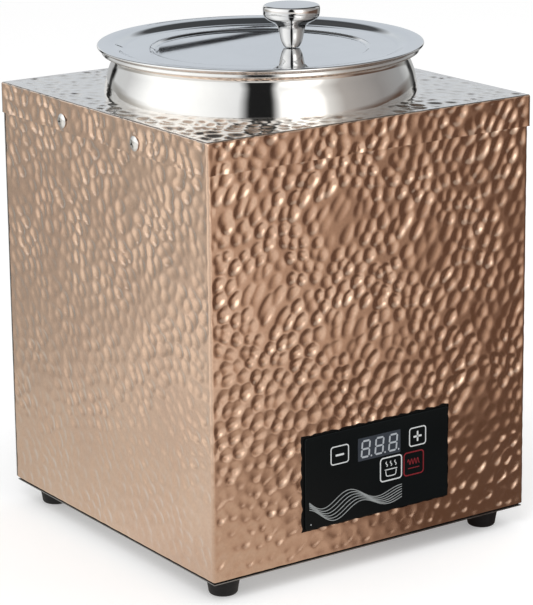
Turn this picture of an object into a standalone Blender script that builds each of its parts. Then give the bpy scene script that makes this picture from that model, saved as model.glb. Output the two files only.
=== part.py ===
"""Square electric soup warmer: sheet metal cabinet, steel neck, lift-out pot, lid and touch panel.

The control panel faces -Y, the floor is at z = 0 and the pot stands on the z axis.
"""

import math

import bmesh
import bpy
from mathutils import Matrix, Vector

# Clearances, in metres like every length here
SEAT_GAP = 0.0003  # left between two pieces that touch
SCREW_CLEARANCE = 0.0003  # round a screw in its hole
CUT_OVERRUN = 0.002  # how far a cutter runs past what it cuts

# Cabinet
CABINET_WIDTH = 0.300  # across the cover's side flanges
CABINET_DEPTH = 0.300  # across the cover's front and rear flanges
CABINET_HEIGHT = 0.3335  # from the wrap's lower edge to the top of the deck
COVER_SHEET = 0.001
COVER_DROP = 0.0248  # height of the cover's turned-down flanges
COVER_FOLD_RADIUS = 0.0016  # along the deck's edges
COVER_CORNER_RADIUS = 0.0006  # inside the upright corners of the flanges
WRAP_SHEET = 0.001
WRAP_FOLD_RADIUS = 0.003
WRAP_RETURN = 0.014  # inward flanges that the rear panel is screwed to
REAR_SHEET = 0.001

# Base pan
PAN_SHEET = 0.0012
PAN_FLANGE = 0.014
PAN_DROP = 0.0018  # how far the pan's underside stands below the wrap's edge
PAN_FOLD_RADIUS = 0.003

# Feet
FOOT_HEIGHT = 0.018
FOOT_TOP_RADIUS = 0.014
FOOT_BOTTOM_RADIUS = 0.0112
FOOT_EDGE_RADIUS = 0.0025
FOOT_RECESS_RADIUS = 0.0062
FOOT_RECESS_DEPTH = 0.007
FOOT_INSET = 0.0235  # from the wrap's sides to a foot's centre

# Screws
COVER_SCREW_RADIUS = 0.002
COVER_SCREW_LENGTH = 0.008
COVER_SCREW_HEAD_RADIUS = 0.0058
COVER_SCREW_HEAD_HEIGHT = 0.0022
COVER_SCREW_SPREAD = 0.053  # from the middle of a side flange to each of its screws
COVER_SCREW_RISE = 0.0083  # above the flange's lower edge
REAR_SCREW_RADIUS = 0.0018
REAR_SCREW_LENGTH = 0.008
REAR_SCREW_HEAD_RADIUS = 0.0038
REAR_SCREW_HEAD_HEIGHT = 0.0018
REAR_SCREW_MARGIN = 0.030  # from the rear panel's lower and upper edge
FOOT_SCREW_RADIUS = 0.0022
FOOT_SCREW_HEAD_RADIUS = 0.0046
FOOT_SCREW_HEAD_HEIGHT = 0.003
FOOT_SCREW_REACH = 0.006  # above the pan
INLET_SCREW_RADIUS = 0.0014
INLET_SCREW_LENGTH = 0.009
INLET_SCREW_HEAD_RADIUS = 0.0027
INLET_SCREW_HEAD_HEIGHT = 0.0014
SCREW_HEAD_EDGE_SHARE = 0.45  # part of a head's height that its rounded edge takes

# Neck collar on the deck
COLLAR_SHEET = 0.001
COLLAR_HEIGHT = 0.0302
COLLAR_BASE_REACH = 0.0133  # from the pot's wall out to the collar's base
COLLAR_NECK_REACH = 0.0049  # from the pot's wall out to the neck
COLLAR_SHOULDER_TUCK = 0.0066  # how far inside the neck the shoulder's curve has its centre
COLLAR_SHOULDER_RISE = 0.025
COLLAR_SHOULDER_START = 0.0045  # straight height under the shoulder
COLLAR_FLARE_WIDTH = 0.0046
COLLAR_FLARE_RISE = 0.0024

# Well that hangs under the deck
WELL_WALL = 0.001
WELL_FLANGE_WIDTH = 0.0105
WELL_BOTTOM_RADIUS = 0.014
WELL_POT_CLEARANCE = 0.004  # round the pot
WELL_FLOOR_CLEARANCE = 0.0095  # under the pot
DECK_HOLE_CLEARANCE = 0.002  # round the well

# Pot
POT_MARGIN = 0.040  # from the pot's wall to the cover's nearer sides
POT_ROOM = 0.102  # from the wrap's lower edge up to the pot, for the heater and the power board
POT_WALL = 0.001
POT_CORNER_RADIUS = 0.018
POT_RIM_WIDTH = 0.0146  # from the pot's wall out to the edge of its bead
POT_BEAD_RADIUS = 0.0022
POT_MOUTH_RADIUS = 0.003  # bend between wall and flange

# Lid
LID_OVERHANG = 0.0034  # past the pot's bead
LID_SHEET = 0.001
LID_HEM_THICKNESS = 0.0022
LID_HEM_WIDTH = 0.0075
LID_FLANGE_WIDTH = 0.0147  # flat rim outside the recess
LID_RECESS_DEPTH = 0.0028
LID_RECESS_WALL_WIDTH = 0.0022
LID_RING_FALL = 0.0014  # fall of the ring between the recess wall and the floor's step
LID_RING_WIDTH = 0.0318  # from the recess's edge in to the floor
LID_STEP_WIDTH = 0.0018
LID_STEP_DEPTH = 0.0016

# Knob, off the lid's centre as photographed
KNOB_OFFSET_X = 0.0225
KNOB_OFFSET_Y = -0.0105
KNOB_HEIGHT = 0.033
KNOB_BASE_RADIUS = 0.0058
KNOB_STEM_RADIUS = 0.0112
KNOB_STEM_HEIGHT = 0.0165
KNOB_CAP_RADIUS = 0.0225
KNOB_CAP_THICKNESS = 0.0098
KNOB_CAP_EDGE_WIDTH = 0.005
KNOB_CROWN_HEIGHT = 0.0008
KNOB_BORE_DEPTH = 0.010
KNOB_SCREW_RADIUS = 0.002
KNOB_SCREW_ENTRY = 0.009  # length of the screw inside the knob
KNOB_SCREW_HEAD_RADIUS = 0.004
KNOB_SCREW_HEAD_HEIGHT = 0.0022
KNOB_WASHER_RADIUS = 0.0065
KNOB_WASHER_THICKNESS = 0.001

# Heater under the well
HEATER_MARGIN = 0.030  # inside the well's outer wall
HEATER_THICKNESS = 0.010
HEATER_EDGE_RADIUS = 0.002
HEATER_CHANNEL_INSET = 0.023  # from the plate's edge to the middle of the ring with the element
HEATER_CHANNEL_WIDTH = 0.014
HEATER_CHANNEL_HEIGHT = 0.006
CLAMP_END_ROOM = 0.005  # between the clamp's ends and the element's ring
CLAMP_WIDTH = 0.026
CLAMP_THICKNESS = 0.0025
CLAMP_BOLT_RADIUS = 0.003
CLAMP_BOLT_HEAD_RADIUS = 0.0062
CLAMP_BOLT_HEAD_HEIGHT = 0.005
TERMINAL_WIDTH = 0.0063
TERMINAL_THICKNESS = 0.001
TERMINAL_LENGTH = 0.014
TERMINAL_SPREAD = 0.014
CUTOUT_RADIUS = 0.008
CUTOUT_HEIGHT = 0.009
INSULATION_THICKNESS = 0.016
INSULATION_PROBE_ROOM = 0.0055  # between the probe and the jacket above it
PROBE_RADIUS = 0.003
PROBE_LENGTH = 0.034
PROBE_RISE = 0.0165  # above the well's underside

# Control panel
PANEL_WIDTH = 0.1405
PANEL_HEIGHT = 0.076
PANEL_CORNER_RADIUS = 0.003
PANEL_OFFSET = 0.0017  # right of the cabinet's middle
PANEL_RISE = 0.0219  # lower edge of the opening above the wrap's lower edge
FASCIA_RECESS = 0.0006  # below the wrap's outer face
FASCIA_FLANGE = 0.0015
FASCIA_MARGIN_X = 0.0135
FASCIA_MARGIN_Z = 0.005
FASCIA_CLEARANCE = 0.0004
STUD_INSET = 0.006  # from the fascia flange's ends
STUD_RADIUS = 0.0018
STUD_NUT_RADIUS = 0.0036
STUD_NUT_HEIGHT = 0.003
HOUSING_DEPTH = 0.0206
HOUSING_FLANGE = 0.0015
HOUSING_WALL = 0.002
HOUSING_LEDGE = 0.005
BOARD_SHEET = 0.0016
DISPLAY_WIDTH = 0.0407
DISPLAY_HEIGHT = 0.0182
DISPLAY_DEPTH = 0.0072
DISPLAY_OFFSET = 0.0025  # right of the panel's middle
DISPLAY_RISE = 0.017  # above the panel's middle

# Power board on the pan
POWER_BOARD_LENGTH = 0.112
POWER_BOARD_WIDTH = 0.072
POWER_BOARD_SIDE_ROOM = 0.0307  # from the wrap's left side
POWER_BOARD_REAR_ROOM = 0.0707  # from the rear panel
STANDOFF_RADIUS = 0.003
STANDOFF_HEIGHT = 0.008
STANDOFF_INSET = 0.006
TRANSFORMER_LENGTH = 0.038
TRANSFORMER_WIDTH = 0.032
TRANSFORMER_HEIGHT = 0.027
RELAY_LENGTH = 0.030
RELAY_WIDTH = 0.016
RELAY_HEIGHT = 0.020
BLOCK_LENGTH = 0.044
BLOCK_WIDTH = 0.011
BLOCK_HEIGHT = 0.013
COMPONENT_EDGE = 0.0015
COMPONENT_PLACE_SHARES = {  # from the board's middle, in halves of its length and width
    "transformer": (-0.50, 0.15),
    "relay": (0.25, 0.40),
    "terminal_block": (0.35, -0.62),
}

# Mains inlet in the rear panel
INLET_SIDE_ROOM = 0.0637  # from the wrap's right side to the inlet's middle
INLET_RISE = 0.045  # above the wrap's lower edge
INLET_BODY_WIDTH = 0.0274
INLET_BODY_HEIGHT = 0.0200
INLET_BODY_DEPTH = 0.020
INLET_FLANGE_WIDTH = 0.050
INLET_FLANGE_HEIGHT = 0.0245
INLET_FLANGE_THICKNESS = 0.002
INLET_SOCKET_WIDTH = 0.0240
INLET_SOCKET_HEIGHT = 0.0162
INLET_SOCKET_DEPTH = 0.0165
INLET_CORNER_RADIUS = 0.003
INLET_SCREW_SPREAD = 0.020
PIN_WIDTH = 0.004
PIN_THICKNESS = 0.002
PIN_LENGTH = 0.014
PIN_SPREAD = 0.007
PIN_DROP = 0.002  # the outer pins below the socket's middle, the earth pin above it

# Leads inside the cabinet
HEATER_LEAD_RADIUS = 0.0017
PROBE_LEAD_RADIUS = 0.0013
CONTROL_LEAD_RADIUS = 0.0024
MAINS_LEAD_RADIUS = 0.0032
LEAD_SWING = 0.016  # how far a short lead runs straight before it curves
LEAD_LONG_SWING = 0.050  # the same for a long lead
LEAD_INSET = 0.010  # from the power board's edges to the leads that land on it
CONTROL_LEAD_INSET = 0.028  # from the board's left end to the control lead
LEAD_SPREAD = 0.012  # from the terminal block's middle to the lead on its top

# Vent slots
SLOT_LENGTH = 0.052
SLOT_HEIGHT = 0.004
SLOT_PITCH = 0.012
REAR_SLOT_COUNT = 8
REAR_SLOT_COLUMN = 0.048  # from the middle to each column's centre
REAR_SLOT_START = 0.150  # first slot above the wrap's lower edge
PAN_SLOT_COUNT = 7
PAN_SLOT_ROW = 0.075  # in front of the pan's middle

# Facets
RING_STEPS = 48
HIDDEN_RING_STEPS = 32
KNOB_STEPS = 28
FOOT_STEPS = 18
SMALL_STEPS = 12
NUT_STEPS = 6
CORNER_STEPS = 2
BEND_STEPS = 4
BEAD_STEPS = 6
LEAD_STEPS = 12
LEAD_SIDES = 6
SMOOTH_ANGLE = math.radians(35)

# Levels and half sizes that follow from the sizes above
PAN_UNDERSIDE = FOOT_HEIGHT
WRAP_BOTTOM = PAN_UNDERSIDE + PAN_DROP
DECK_TOP = WRAP_BOTTOM + CABINET_HEIGHT
DECK_UNDERSIDE = DECK_TOP - COVER_SHEET
WRAP_TOP = DECK_UNDERSIDE - SEAT_GAP
COVER_EDGE = DECK_TOP - COVER_DROP
COVER_HALF_X = CABINET_WIDTH / 2
COVER_HALF_Y = CABINET_DEPTH / 2
WRAP_HALF_X = COVER_HALF_X - COVER_SHEET - SEAT_GAP
WRAP_FRONT = -(COVER_HALF_Y - COVER_SHEET - SEAT_GAP)
REAR_OUTER = COVER_HALF_Y - COVER_SHEET - SEAT_GAP
REAR_INNER = REAR_OUTER - REAR_SHEET
WRAP_REAR = REAR_INNER - SEAT_GAP
WRAP_INNER_FRONT = WRAP_FRONT + WRAP_SHEET
POT_RADIUS = min(COVER_HALF_X, COVER_HALF_Y) - POT_MARGIN
WELL_INNER_RADIUS = POT_RADIUS + WELL_POT_CLEARANCE
WELL_OUTER_RADIUS = WELL_INNER_RADIUS + WELL_WALL
DECK_HOLE_RADIUS = WELL_OUTER_RADIUS + DECK_HOLE_CLEARANCE
COLLAR_BASE_RADIUS = POT_RADIUS + COLLAR_BASE_REACH
COLLAR_NECK_RADIUS = POT_RADIUS + COLLAR_NECK_REACH
COLLAR_INNER_FOOT = DECK_HOLE_RADIUS + SEAT_GAP
COLLAR_BOTTOM = DECK_TOP + SEAT_GAP
COLLAR_TOP = DECK_TOP + COLLAR_HEIGHT
POT_SEAT = COLLAR_TOP + SEAT_GAP
POT_UNDERSIDE = WRAP_BOTTOM + POT_ROOM
POT_RIM_RADIUS = POT_RADIUS + POT_RIM_WIDTH
POT_RIM_TOP = POT_SEAT + 2 * POT_BEAD_RADIUS
LID_RADIUS = POT_RIM_RADIUS + LID_OVERHANG
LID_RECESS_RADIUS = LID_RADIUS - LID_FLANGE_WIDTH
LID_FLOOR_RADIUS = LID_RECESS_RADIUS - LID_RING_WIDTH
LID_SEAT = POT_RIM_TOP + SEAT_GAP
LID_TOP = LID_SEAT + LID_HEM_THICKNESS
LID_RECESS_FLOOR = LID_TOP - LID_RECESS_DEPTH
LID_FLOOR = LID_RECESS_FLOOR - LID_RING_FALL - LID_STEP_DEPTH
WELL_FLANGE_TOP = DECK_UNDERSIDE - SEAT_GAP
WELL_UNDERSIDE = POT_UNDERSIDE - WELL_FLOOR_CLEARANCE - WELL_WALL
HEATER_RADIUS = WELL_OUTER_RADIUS - HEATER_MARGIN
HEATER_TOP = WELL_UNDERSIDE - SEAT_GAP
HEATER_UNDERSIDE = HEATER_TOP - HEATER_THICKNESS
CHANNEL_RADIUS = HEATER_RADIUS - HEATER_CHANNEL_INSET
CHANNEL_INNER = CHANNEL_RADIUS - HEATER_CHANNEL_WIDTH / 2
CHANNEL_OUTER = CHANNEL_RADIUS + HEATER_CHANNEL_WIDTH / 2
CHANNEL_UNDERSIDE = HEATER_UNDERSIDE - HEATER_CHANNEL_HEIGHT
TERMINAL_TOP = CHANNEL_UNDERSIDE - SEAT_GAP
PROBE_X = -(WELL_OUTER_RADIUS + SEAT_GAP + PROBE_RADIUS)
PROBE_LOW = WELL_UNDERSIDE + PROBE_RISE
PAN_TOP = PAN_UNDERSIDE + PAN_SHEET
PANEL_MIDDLE = WRAP_BOTTOM + PANEL_RISE + PANEL_HEIGHT / 2
FASCIA_BACK = WRAP_INNER_FRONT + SEAT_GAP + FASCIA_FLANGE
HOUSING_FRONT = FASCIA_BACK + SEAT_GAP
HOUSING_BACK = HOUSING_FRONT + HOUSING_DEPTH
POWER_BOARD_X = POWER_BOARD_LENGTH / 2 + POWER_BOARD_SIDE_ROOM - WRAP_HALF_X
POWER_BOARD_Y = REAR_OUTER - POWER_BOARD_REAR_ROOM - POWER_BOARD_WIDTH / 2
POWER_BOARD_UNDERSIDE = PAN_TOP + STANDOFF_HEIGHT + 2 * SEAT_GAP
COMPONENT_SEAT = POWER_BOARD_UNDERSIDE + BOARD_SHEET + SEAT_GAP
INLET_X = WRAP_HALF_X - INLET_SIDE_ROOM
INLET_MIDDLE = WRAP_BOTTOM + INLET_RISE
INLET_BACK = REAR_OUTER - INLET_BODY_DEPTH

# Directions in which a piece that is modelled along +Z can be placed
UP = Matrix()
FRONT = Matrix.Rotation(math.pi / 2, 4, "X")
BACK = Matrix.Rotation(math.pi, 4, "Z") @ Matrix.Rotation(math.pi / 2, 4, "X")
LEFT = Matrix.Rotation(-math.pi / 2, 4, "Z") @ Matrix.Rotation(math.pi / 2, 4, "X")
RIGHT = Matrix.Rotation(math.pi / 2, 4, "Z") @ Matrix.Rotation(math.pi / 2, 4, "X")
DOWN = Matrix.Rotation(math.pi, 4, "X")

# Colour, roughness and metallic value of each material
FINISHES = {
    "hammered_copper": ((0.43, 0.24, 0.16), 0.32, 1.0),
    "polished_steel": ((0.72, 0.72, 0.71), 0.08, 1.0),
    "plain_steel": ((0.55, 0.56, 0.57), 0.35, 1.0),
    "aluminium": ((0.68, 0.69, 0.70), 0.40, 1.0),
    "brass": ((0.60, 0.45, 0.18), 0.30, 1.0),
    "black_rubber": ((0.012, 0.012, 0.013), 0.75, 0.0),
    "panel_black": ((0.006, 0.007, 0.008), 0.08, 0.0),
    "black_plastic": ((0.020, 0.020, 0.022), 0.45, 0.0),
    "display_grey": ((0.10, 0.11, 0.13), 0.15, 0.0),
    "board_green": ((0.03, 0.16, 0.07), 0.40, 0.0),
    "block_white": ((0.70, 0.70, 0.66), 0.45, 0.0),
    "relay_blue": ((0.03, 0.10, 0.35), 0.40, 0.0),
    "insulation": ((0.75, 0.72, 0.60), 0.90, 0.0),
    "wire_jacket": ((0.45, 0.06, 0.05), 0.50, 0.0),
}


def clear_scene():
    """Removes whatever the scene holds."""
    for thing in list(bpy.data.objects):
        bpy.data.objects.remove(thing, do_unlink=True)


def material(name):
    """The Principled material of a finish, made once."""
    found = bpy.data.materials.get(name)
    if found:
        return found
    colour, roughness, metallic = FINISHES[name]
    made = bpy.data.materials.new(name)
    made.use_nodes = True
    shader = made.node_tree.nodes["Principled BSDF"]
    shader.inputs["Base Color"].default_value = (*colour, 1.0)
    shader.inputs["Roughness"].default_value = roughness
    shader.inputs["Metallic"].default_value = metallic
    return made


def rectangle(half_x, half_y, radius=0.0, z=0.0):
    """A rectangle's points at height z, anticlockwise from above, with round corners if asked."""
    if not radius:
        return [(half_x, half_y, z), (-half_x, half_y, z), (-half_x, -half_y, z), (half_x, -half_y, z)]
    points = []
    for quarter, (side_x, side_y) in enumerate(((1, 1), (-1, 1), (-1, -1), (1, -1))):
        for step in range(CORNER_STEPS + 1):
            angle = (quarter + step / CORNER_STEPS) * math.pi / 2
            x = side_x * (half_x - radius) + radius * math.cos(angle)
            y = side_y * (half_y - radius) + radius * math.sin(angle)
            points.append((x, y, z))
    return points


def circle(radius, z, steps):
    """A circle's points at height z."""
    turn = 2 * math.pi / steps
    return [(radius * math.cos(turn * i), radius * math.sin(turn * i), z) for i in range(steps)]


def arc(centre_r, centre_z, radius_r, radius_z, start, end, steps):
    """Profile points on an ellipse, from one angle in degrees to another."""
    points = []
    for step in range(steps + 1):
        angle = math.radians(start + (end - start) * step / steps)
        points.append((centre_r + radius_r * math.cos(angle), centre_z + radius_z * math.sin(angle)))
    return points


def skin(bm, rings, closed=False, place=UP):
    """Joins rings of equally many points. The ends are capped, or met if the skin is closed."""
    rows = [[bm.verts.new(place @ Vector(point)) for point in ring] for ring in rings]
    pairs = list(zip(rows, rows[1:]))
    if closed:
        pairs.append((rows[-1], rows[0]))
    for lower, upper in pairs:
        count = len(lower)
        for index in range(count):
            following = (index + 1) % count
            bm.faces.new((lower[index], lower[following], upper[following], upper[index]))
    if not closed:
        bm.faces.new(list(reversed(rows[0])))
        bm.faces.new(rows[-1])


def add_object(name, bm, finish, centre=(0, 0, 0), facing=UP):
    """Turns a bmesh into an object with its material, standing at centre and facing one way."""
    bmesh.ops.recalc_face_normals(bm, faces=bm.faces)
    mesh = bpy.data.meshes.new(name)
    bm.to_mesh(mesh)
    bm.free()
    mesh.shade_smooth()
    mesh.set_sharp_from_angle(angle=SMOOTH_ANGLE)
    made = bpy.data.objects.new(name, mesh)
    bpy.context.scene.collection.objects.link(made)
    made.matrix_world = Matrix.Translation(centre) @ facing
    if finish:
        mesh.materials.append(material(finish))
    return made


def lofted(name, rings, finish, centre=(0, 0, 0), facing=UP):
    """A solid lofted over rings that face along its own +Z."""
    bm = bmesh.new()
    skin(bm, rings)
    return add_object(name, bm, finish, centre, facing)


def turned(name, profile, steps, finish, centre=(0, 0, 0), facing=UP, ring=False):
    """A solid turned about its own Z. Its profile ends at two flat caps, or closes as a ring."""
    bm = bmesh.new()
    skin(bm, [circle(radius, z, steps) for radius, z in profile], closed=ring)
    return add_object(name, bm, finish, centre, facing)


def copies(first, places):
    """Copies that share the first object's mesh, by name and centre."""
    for name, centre in places:
        twin = bpy.data.objects.new(name, first.data)
        bpy.context.scene.collection.objects.link(twin)
        twin.matrix_world = Matrix.Translation(centre) @ first.matrix_world.to_3x3().to_4x4()


def cutter(name, prisms):
    """A helper of prisms, each given as rings and a placing matrix. It is left out of the build."""
    bm = bmesh.new()
    for rings, place in prisms:
        skin(bm, rings, place=place)
    made = add_object(name, bm, None)
    made.hide_render = True
    made.display_type = "WIRE"
    return made


def cut(target, tool):
    """Takes the tool's prisms out of the target."""
    boolean = target.modifiers.new(tool.name, "BOOLEAN")
    boolean.operation = "DIFFERENCE"
    boolean.solver = "EXACT"
    boolean.object = tool


def drill(radius, depth, centre, facing, steps=SMALL_STEPS):
    """A round prism for a cutter, running both ways past a wall of the given depth at centre."""
    reach = depth + CUT_OVERRUN
    rings = [circle(radius, -reach, steps), circle(radius, reach, steps)]
    return rings, Matrix.Translation(centre) @ facing


def window(half_x, half_y, radius, depth, centre, facing):
    """A prism with round corners for a cutter, running both ways past a wall at centre."""
    reach = depth + CUT_OVERRUN
    rings = [rectangle(half_x, half_y, radius, -reach), rectangle(half_x, half_y, radius, reach)]
    return rings, Matrix.Translation(centre) @ facing


def make_cover():
    """The deck with its four turned-down flanges, open at the neck and drilled for its screws."""
    fold = COVER_FOLD_RADIUS
    corner = COVER_CORNER_RADIUS + COVER_SHEET
    outer = [
        rectangle(COVER_HALF_X - fold + reach, COVER_HALF_Y - fold + reach, corner, level)
        for reach, level in arc(0, DECK_TOP - fold, fold, fold, 90, 0, CORNER_STEPS)
    ]
    outer.append(rectangle(COVER_HALF_X, COVER_HALF_Y, corner, COVER_EDGE))
    inner_x = COVER_HALF_X - COVER_SHEET
    inner_y = COVER_HALF_Y - COVER_SHEET
    inner = [rectangle(inner_x, inner_y, COVER_CORNER_RADIUS, z) for z in (COVER_EDGE, DECK_UNDERSIDE)]
    cover = lofted("top_cover", outer + inner, "hammered_copper")
    hole = drill(DECK_HOLE_RADIUS, COVER_SHEET, (0, 0, DECK_TOP), UP, RING_STEPS)
    cut(cover, cutter("cover_neck_cut", [hole]))
    screws = [
        drill(COVER_SCREW_RADIUS + SCREW_CLEARANCE, COVER_SHEET, place, RIGHT)
        for place, _ in cover_screw_places(COVER_HALF_X)
    ]
    cut(cover, cutter("cover_screw_cut", screws))


def cover_screw_places(distance):
    """The centres of the four cover screws at one distance from the middle, with their facing."""
    level = COVER_EDGE + COVER_SCREW_RISE
    return [
        ((side * distance, along * COVER_SCREW_SPREAD, level), RIGHT if side > 0 else LEFT)
        for side in (-1, 1)
        for along in (-1, 1)
    ]


def wrap_outline():
    """Plan of the wrap: one folded strip round the front and both sides, turned in at the rear."""
    outer_x = WRAP_HALF_X
    inner_x = WRAP_HALF_X - WRAP_SHEET
    fold = WRAP_FOLD_RADIUS
    bend = fold - WRAP_SHEET
    centre_y = WRAP_FRONT + fold
    half = [(outer_x - WRAP_RETURN, WRAP_REAR), (outer_x, WRAP_REAR)]
    half += arc(outer_x - fold, centre_y, fold, fold, 0, -90, CORNER_STEPS)
    outside = half + [(-x, y) for x, y in reversed(half)]
    half = [(outer_x - WRAP_RETURN, WRAP_REAR - WRAP_SHEET), (inner_x, WRAP_REAR - WRAP_SHEET)]
    half += arc(inner_x - bend, centre_y, bend, bend, 0, -90, CORNER_STEPS)
    inside = half + [(-x, y) for x, y in reversed(half)]
    return outside + list(reversed(inside))


def make_wrap():
    """The folded sheet that forms the front and the sides."""
    outline = wrap_outline()
    rings = [[(x, y, z) for x, y in outline] for z in (WRAP_BOTTOM, WRAP_TOP)]
    wrap = lofted("cabinet_wrap", rings, "hammered_copper")
    opening = window(
        PANEL_WIDTH / 2, PANEL_HEIGHT / 2, PANEL_CORNER_RADIUS, WRAP_SHEET,
        (PANEL_OFFSET, WRAP_FRONT, PANEL_MIDDLE), FRONT,
    )
    cut(wrap, cutter("wrap_panel_cut", [opening]))
    holes = [
        drill(COVER_SCREW_RADIUS + SCREW_CLEARANCE, WRAP_SHEET, place, RIGHT)
        for place, _ in cover_screw_places(WRAP_HALF_X)
    ]
    holes += [
        drill(REAR_SCREW_RADIUS + SCREW_CLEARANCE, WRAP_SHEET, place, FRONT)
        for place in rear_screw_places(WRAP_REAR)
    ]
    cut(wrap, cutter("wrap_screw_cut", holes))


def rear_screw_places(level_y):
    """The centres of the four rear panel screws, over the wrap's return flanges."""
    across = WRAP_HALF_X - (WRAP_RETURN + WRAP_SHEET) / 2
    low = WRAP_BOTTOM + REAR_SCREW_MARGIN
    high = COVER_EDGE - REAR_SCREW_MARGIN
    return [(side * across, level_y, z) for side in (-1, 1) for z in (low, high)]


def make_rear_panel():
    """The flat rear panel with its vent slots and the mains inlet's opening."""
    half_z = (WRAP_TOP - WRAP_BOTTOM) / 2
    middle = (0, REAR_INNER, WRAP_BOTTOM + half_z)
    rings = [rectangle(WRAP_HALF_X, half_z, WRAP_SHEET, z) for z in (0, REAR_SHEET)]
    panel = lofted("rear_panel", rings, "plain_steel", middle, BACK)
    slots = [
        window(
            SLOT_LENGTH / 2, SLOT_HEIGHT / 2, SLOT_HEIGHT / 2 - SEAT_GAP, REAR_SHEET,
            (side * REAR_SLOT_COLUMN, REAR_OUTER, WRAP_BOTTOM + REAR_SLOT_START + row * SLOT_PITCH), BACK,
        )
        for side in (-1, 1)
        for row in range(REAR_SLOT_COUNT)
    ]
    cut(panel, cutter("rear_slot_cut", slots))
    holes = [
        drill(REAR_SCREW_RADIUS + SCREW_CLEARANCE, REAR_SHEET, place, BACK)
        for place in rear_screw_places(REAR_OUTER)
    ]
    holes.append(window(
        INLET_BODY_WIDTH / 2 + SEAT_GAP, INLET_BODY_HEIGHT / 2 + SEAT_GAP, INLET_CORNER_RADIUS,
        REAR_SHEET, (INLET_X, REAR_OUTER, INLET_MIDDLE), BACK,
    ))
    holes += [
        drill(INLET_SCREW_RADIUS + SCREW_CLEARANCE, REAR_SHEET, place, BACK)
        for place in inlet_screw_places(REAR_OUTER)
    ]
    cut(panel, cutter("rear_hole_cut", holes))


def foot_places(z):
    """The feet's centres at one height."""
    across = WRAP_HALF_X - FOOT_INSET
    front = WRAP_FRONT + FOOT_INSET
    rear = REAR_OUTER - FOOT_INSET
    return {
        "front_left": (-across, front, z),
        "front_right": (across, front, z),
        "rear_left": (-across, rear, z),
        "rear_right": (across, rear, z),
    }


def make_base_pan():
    """The base pan, standing inside the wrap, with vent slots under the heater."""
    half_x = WRAP_HALF_X - WRAP_SHEET - SEAT_GAP
    front = WRAP_INNER_FRONT + SEAT_GAP
    rear = WRAP_REAR - WRAP_SHEET - SEAT_GAP
    half_y = (rear - front) / 2
    middle = (0, (rear + front) / 2, PAN_UNDERSIDE)
    fold = PAN_FOLD_RADIUS
    outer = [
        rectangle(half_x - fold + r, half_y - fold + r, fold, z)
        for r, z in arc(0, fold, fold, fold, -90, 0, CORNER_STEPS)
    ]
    outer.append(rectangle(half_x, half_y, fold, PAN_FLANGE))
    inner_x = half_x - PAN_SHEET
    inner_y = half_y - PAN_SHEET
    bend = fold - PAN_SHEET
    inner = [rectangle(inner_x, inner_y, bend, z) for z in (PAN_FLANGE, PAN_SHEET)]
    pan = lofted("base_pan", outer + inner, "plain_steel", middle)
    slots = [
        window(
            SLOT_HEIGHT / 2, SLOT_LENGTH / 2, SLOT_HEIGHT / 2 - SEAT_GAP, PAN_SHEET,
            ((row - (PAN_SLOT_COUNT - 1) / 2) * SLOT_PITCH, -PAN_SLOT_ROW, PAN_TOP), UP,
        )
        for row in range(PAN_SLOT_COUNT)
    ]
    cut(pan, cutter("pan_slot_cut", slots))
    holes = [
        drill(FOOT_SCREW_RADIUS + SCREW_CLEARANCE, PAN_SHEET, place, UP)
        for place in foot_places(PAN_TOP).values()
    ]
    cut(pan, cutter("pan_foot_cut", holes))


def make_feet():
    """Four tapered rubber feet, each on its own screw sunk into the underside."""
    top = FOOT_HEIGHT - SEAT_GAP
    hole = FOOT_SCREW_RADIUS + SCREW_CLEARANCE
    edge = FOOT_EDGE_RADIUS
    profile = arc(FOOT_BOTTOM_RADIUS - edge, edge, edge, edge, -90, 0, CORNER_STEPS)
    profile += [
        (FOOT_TOP_RADIUS, top),
        (hole, top),
        (hole, FOOT_RECESS_DEPTH),
        (FOOT_RECESS_RADIUS, FOOT_RECESS_DEPTH),
        (FOOT_RECESS_RADIUS, 0),
    ]
    spots = foot_places(0)
    first, *others = spots.items()
    foot = turned(f"foot_{first[0]}", profile, FOOT_STEPS, "black_rubber", first[1], ring=True)
    copies(foot, [(f"foot_{side}", place) for side, place in others])
    seat = FOOT_RECESS_DEPTH - SEAT_GAP
    shank = [(FOOT_SCREW_RADIUS, PAN_TOP + FOOT_SCREW_REACH)]
    screw = turned(
        f"foot_screw_{first[0]}", screw_profile(
            FOOT_SCREW_RADIUS, FOOT_SCREW_HEAD_RADIUS, FOOT_SCREW_HEAD_HEIGHT, seat
        ) + shank, SMALL_STEPS, "plain_steel", first[1],
    )
    copies(screw, [(f"foot_screw_{side}", place) for side, place in others])


def screw_profile(radius, head_radius, head_height, seat):
    """A round screw head that ends at its seat, with the start of the shank above it."""
    edge = head_height * SCREW_HEAD_EDGE_SHARE
    bottom = seat - head_height
    return [
        (head_radius - edge, bottom),
        (head_radius, bottom + edge),
        (head_radius, seat),
        (radius, seat),
    ]


def make_side_screws():
    """The cover's screws, in the side flanges."""
    profile = screw_profile(COVER_SCREW_RADIUS, COVER_SCREW_HEAD_RADIUS, COVER_SCREW_HEAD_HEIGHT, -SEAT_GAP)
    profile.append((COVER_SCREW_RADIUS, COVER_SCREW_LENGTH))
    names = ("left_front", "left_rear", "right_front", "right_rear")
    for name, (place, facing) in zip(names, cover_screw_places(COVER_HALF_X)):
        turned(f"cover_screw_{name}", profile, SMALL_STEPS, "polished_steel", place, facing @ DOWN)


def make_rear_screws():
    """The rear panel's screws."""
    profile = screw_profile(REAR_SCREW_RADIUS, REAR_SCREW_HEAD_RADIUS, REAR_SCREW_HEAD_HEIGHT, -SEAT_GAP)
    profile.append((REAR_SCREW_RADIUS, REAR_SCREW_LENGTH))
    names = ("left_low", "left_high", "right_low", "right_high")
    for name, place in zip(names, rear_screw_places(REAR_OUTER)):
        turned(f"rear_screw_{name}", profile, SMALL_STEPS, "plain_steel", place, BACK @ DOWN)


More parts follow.
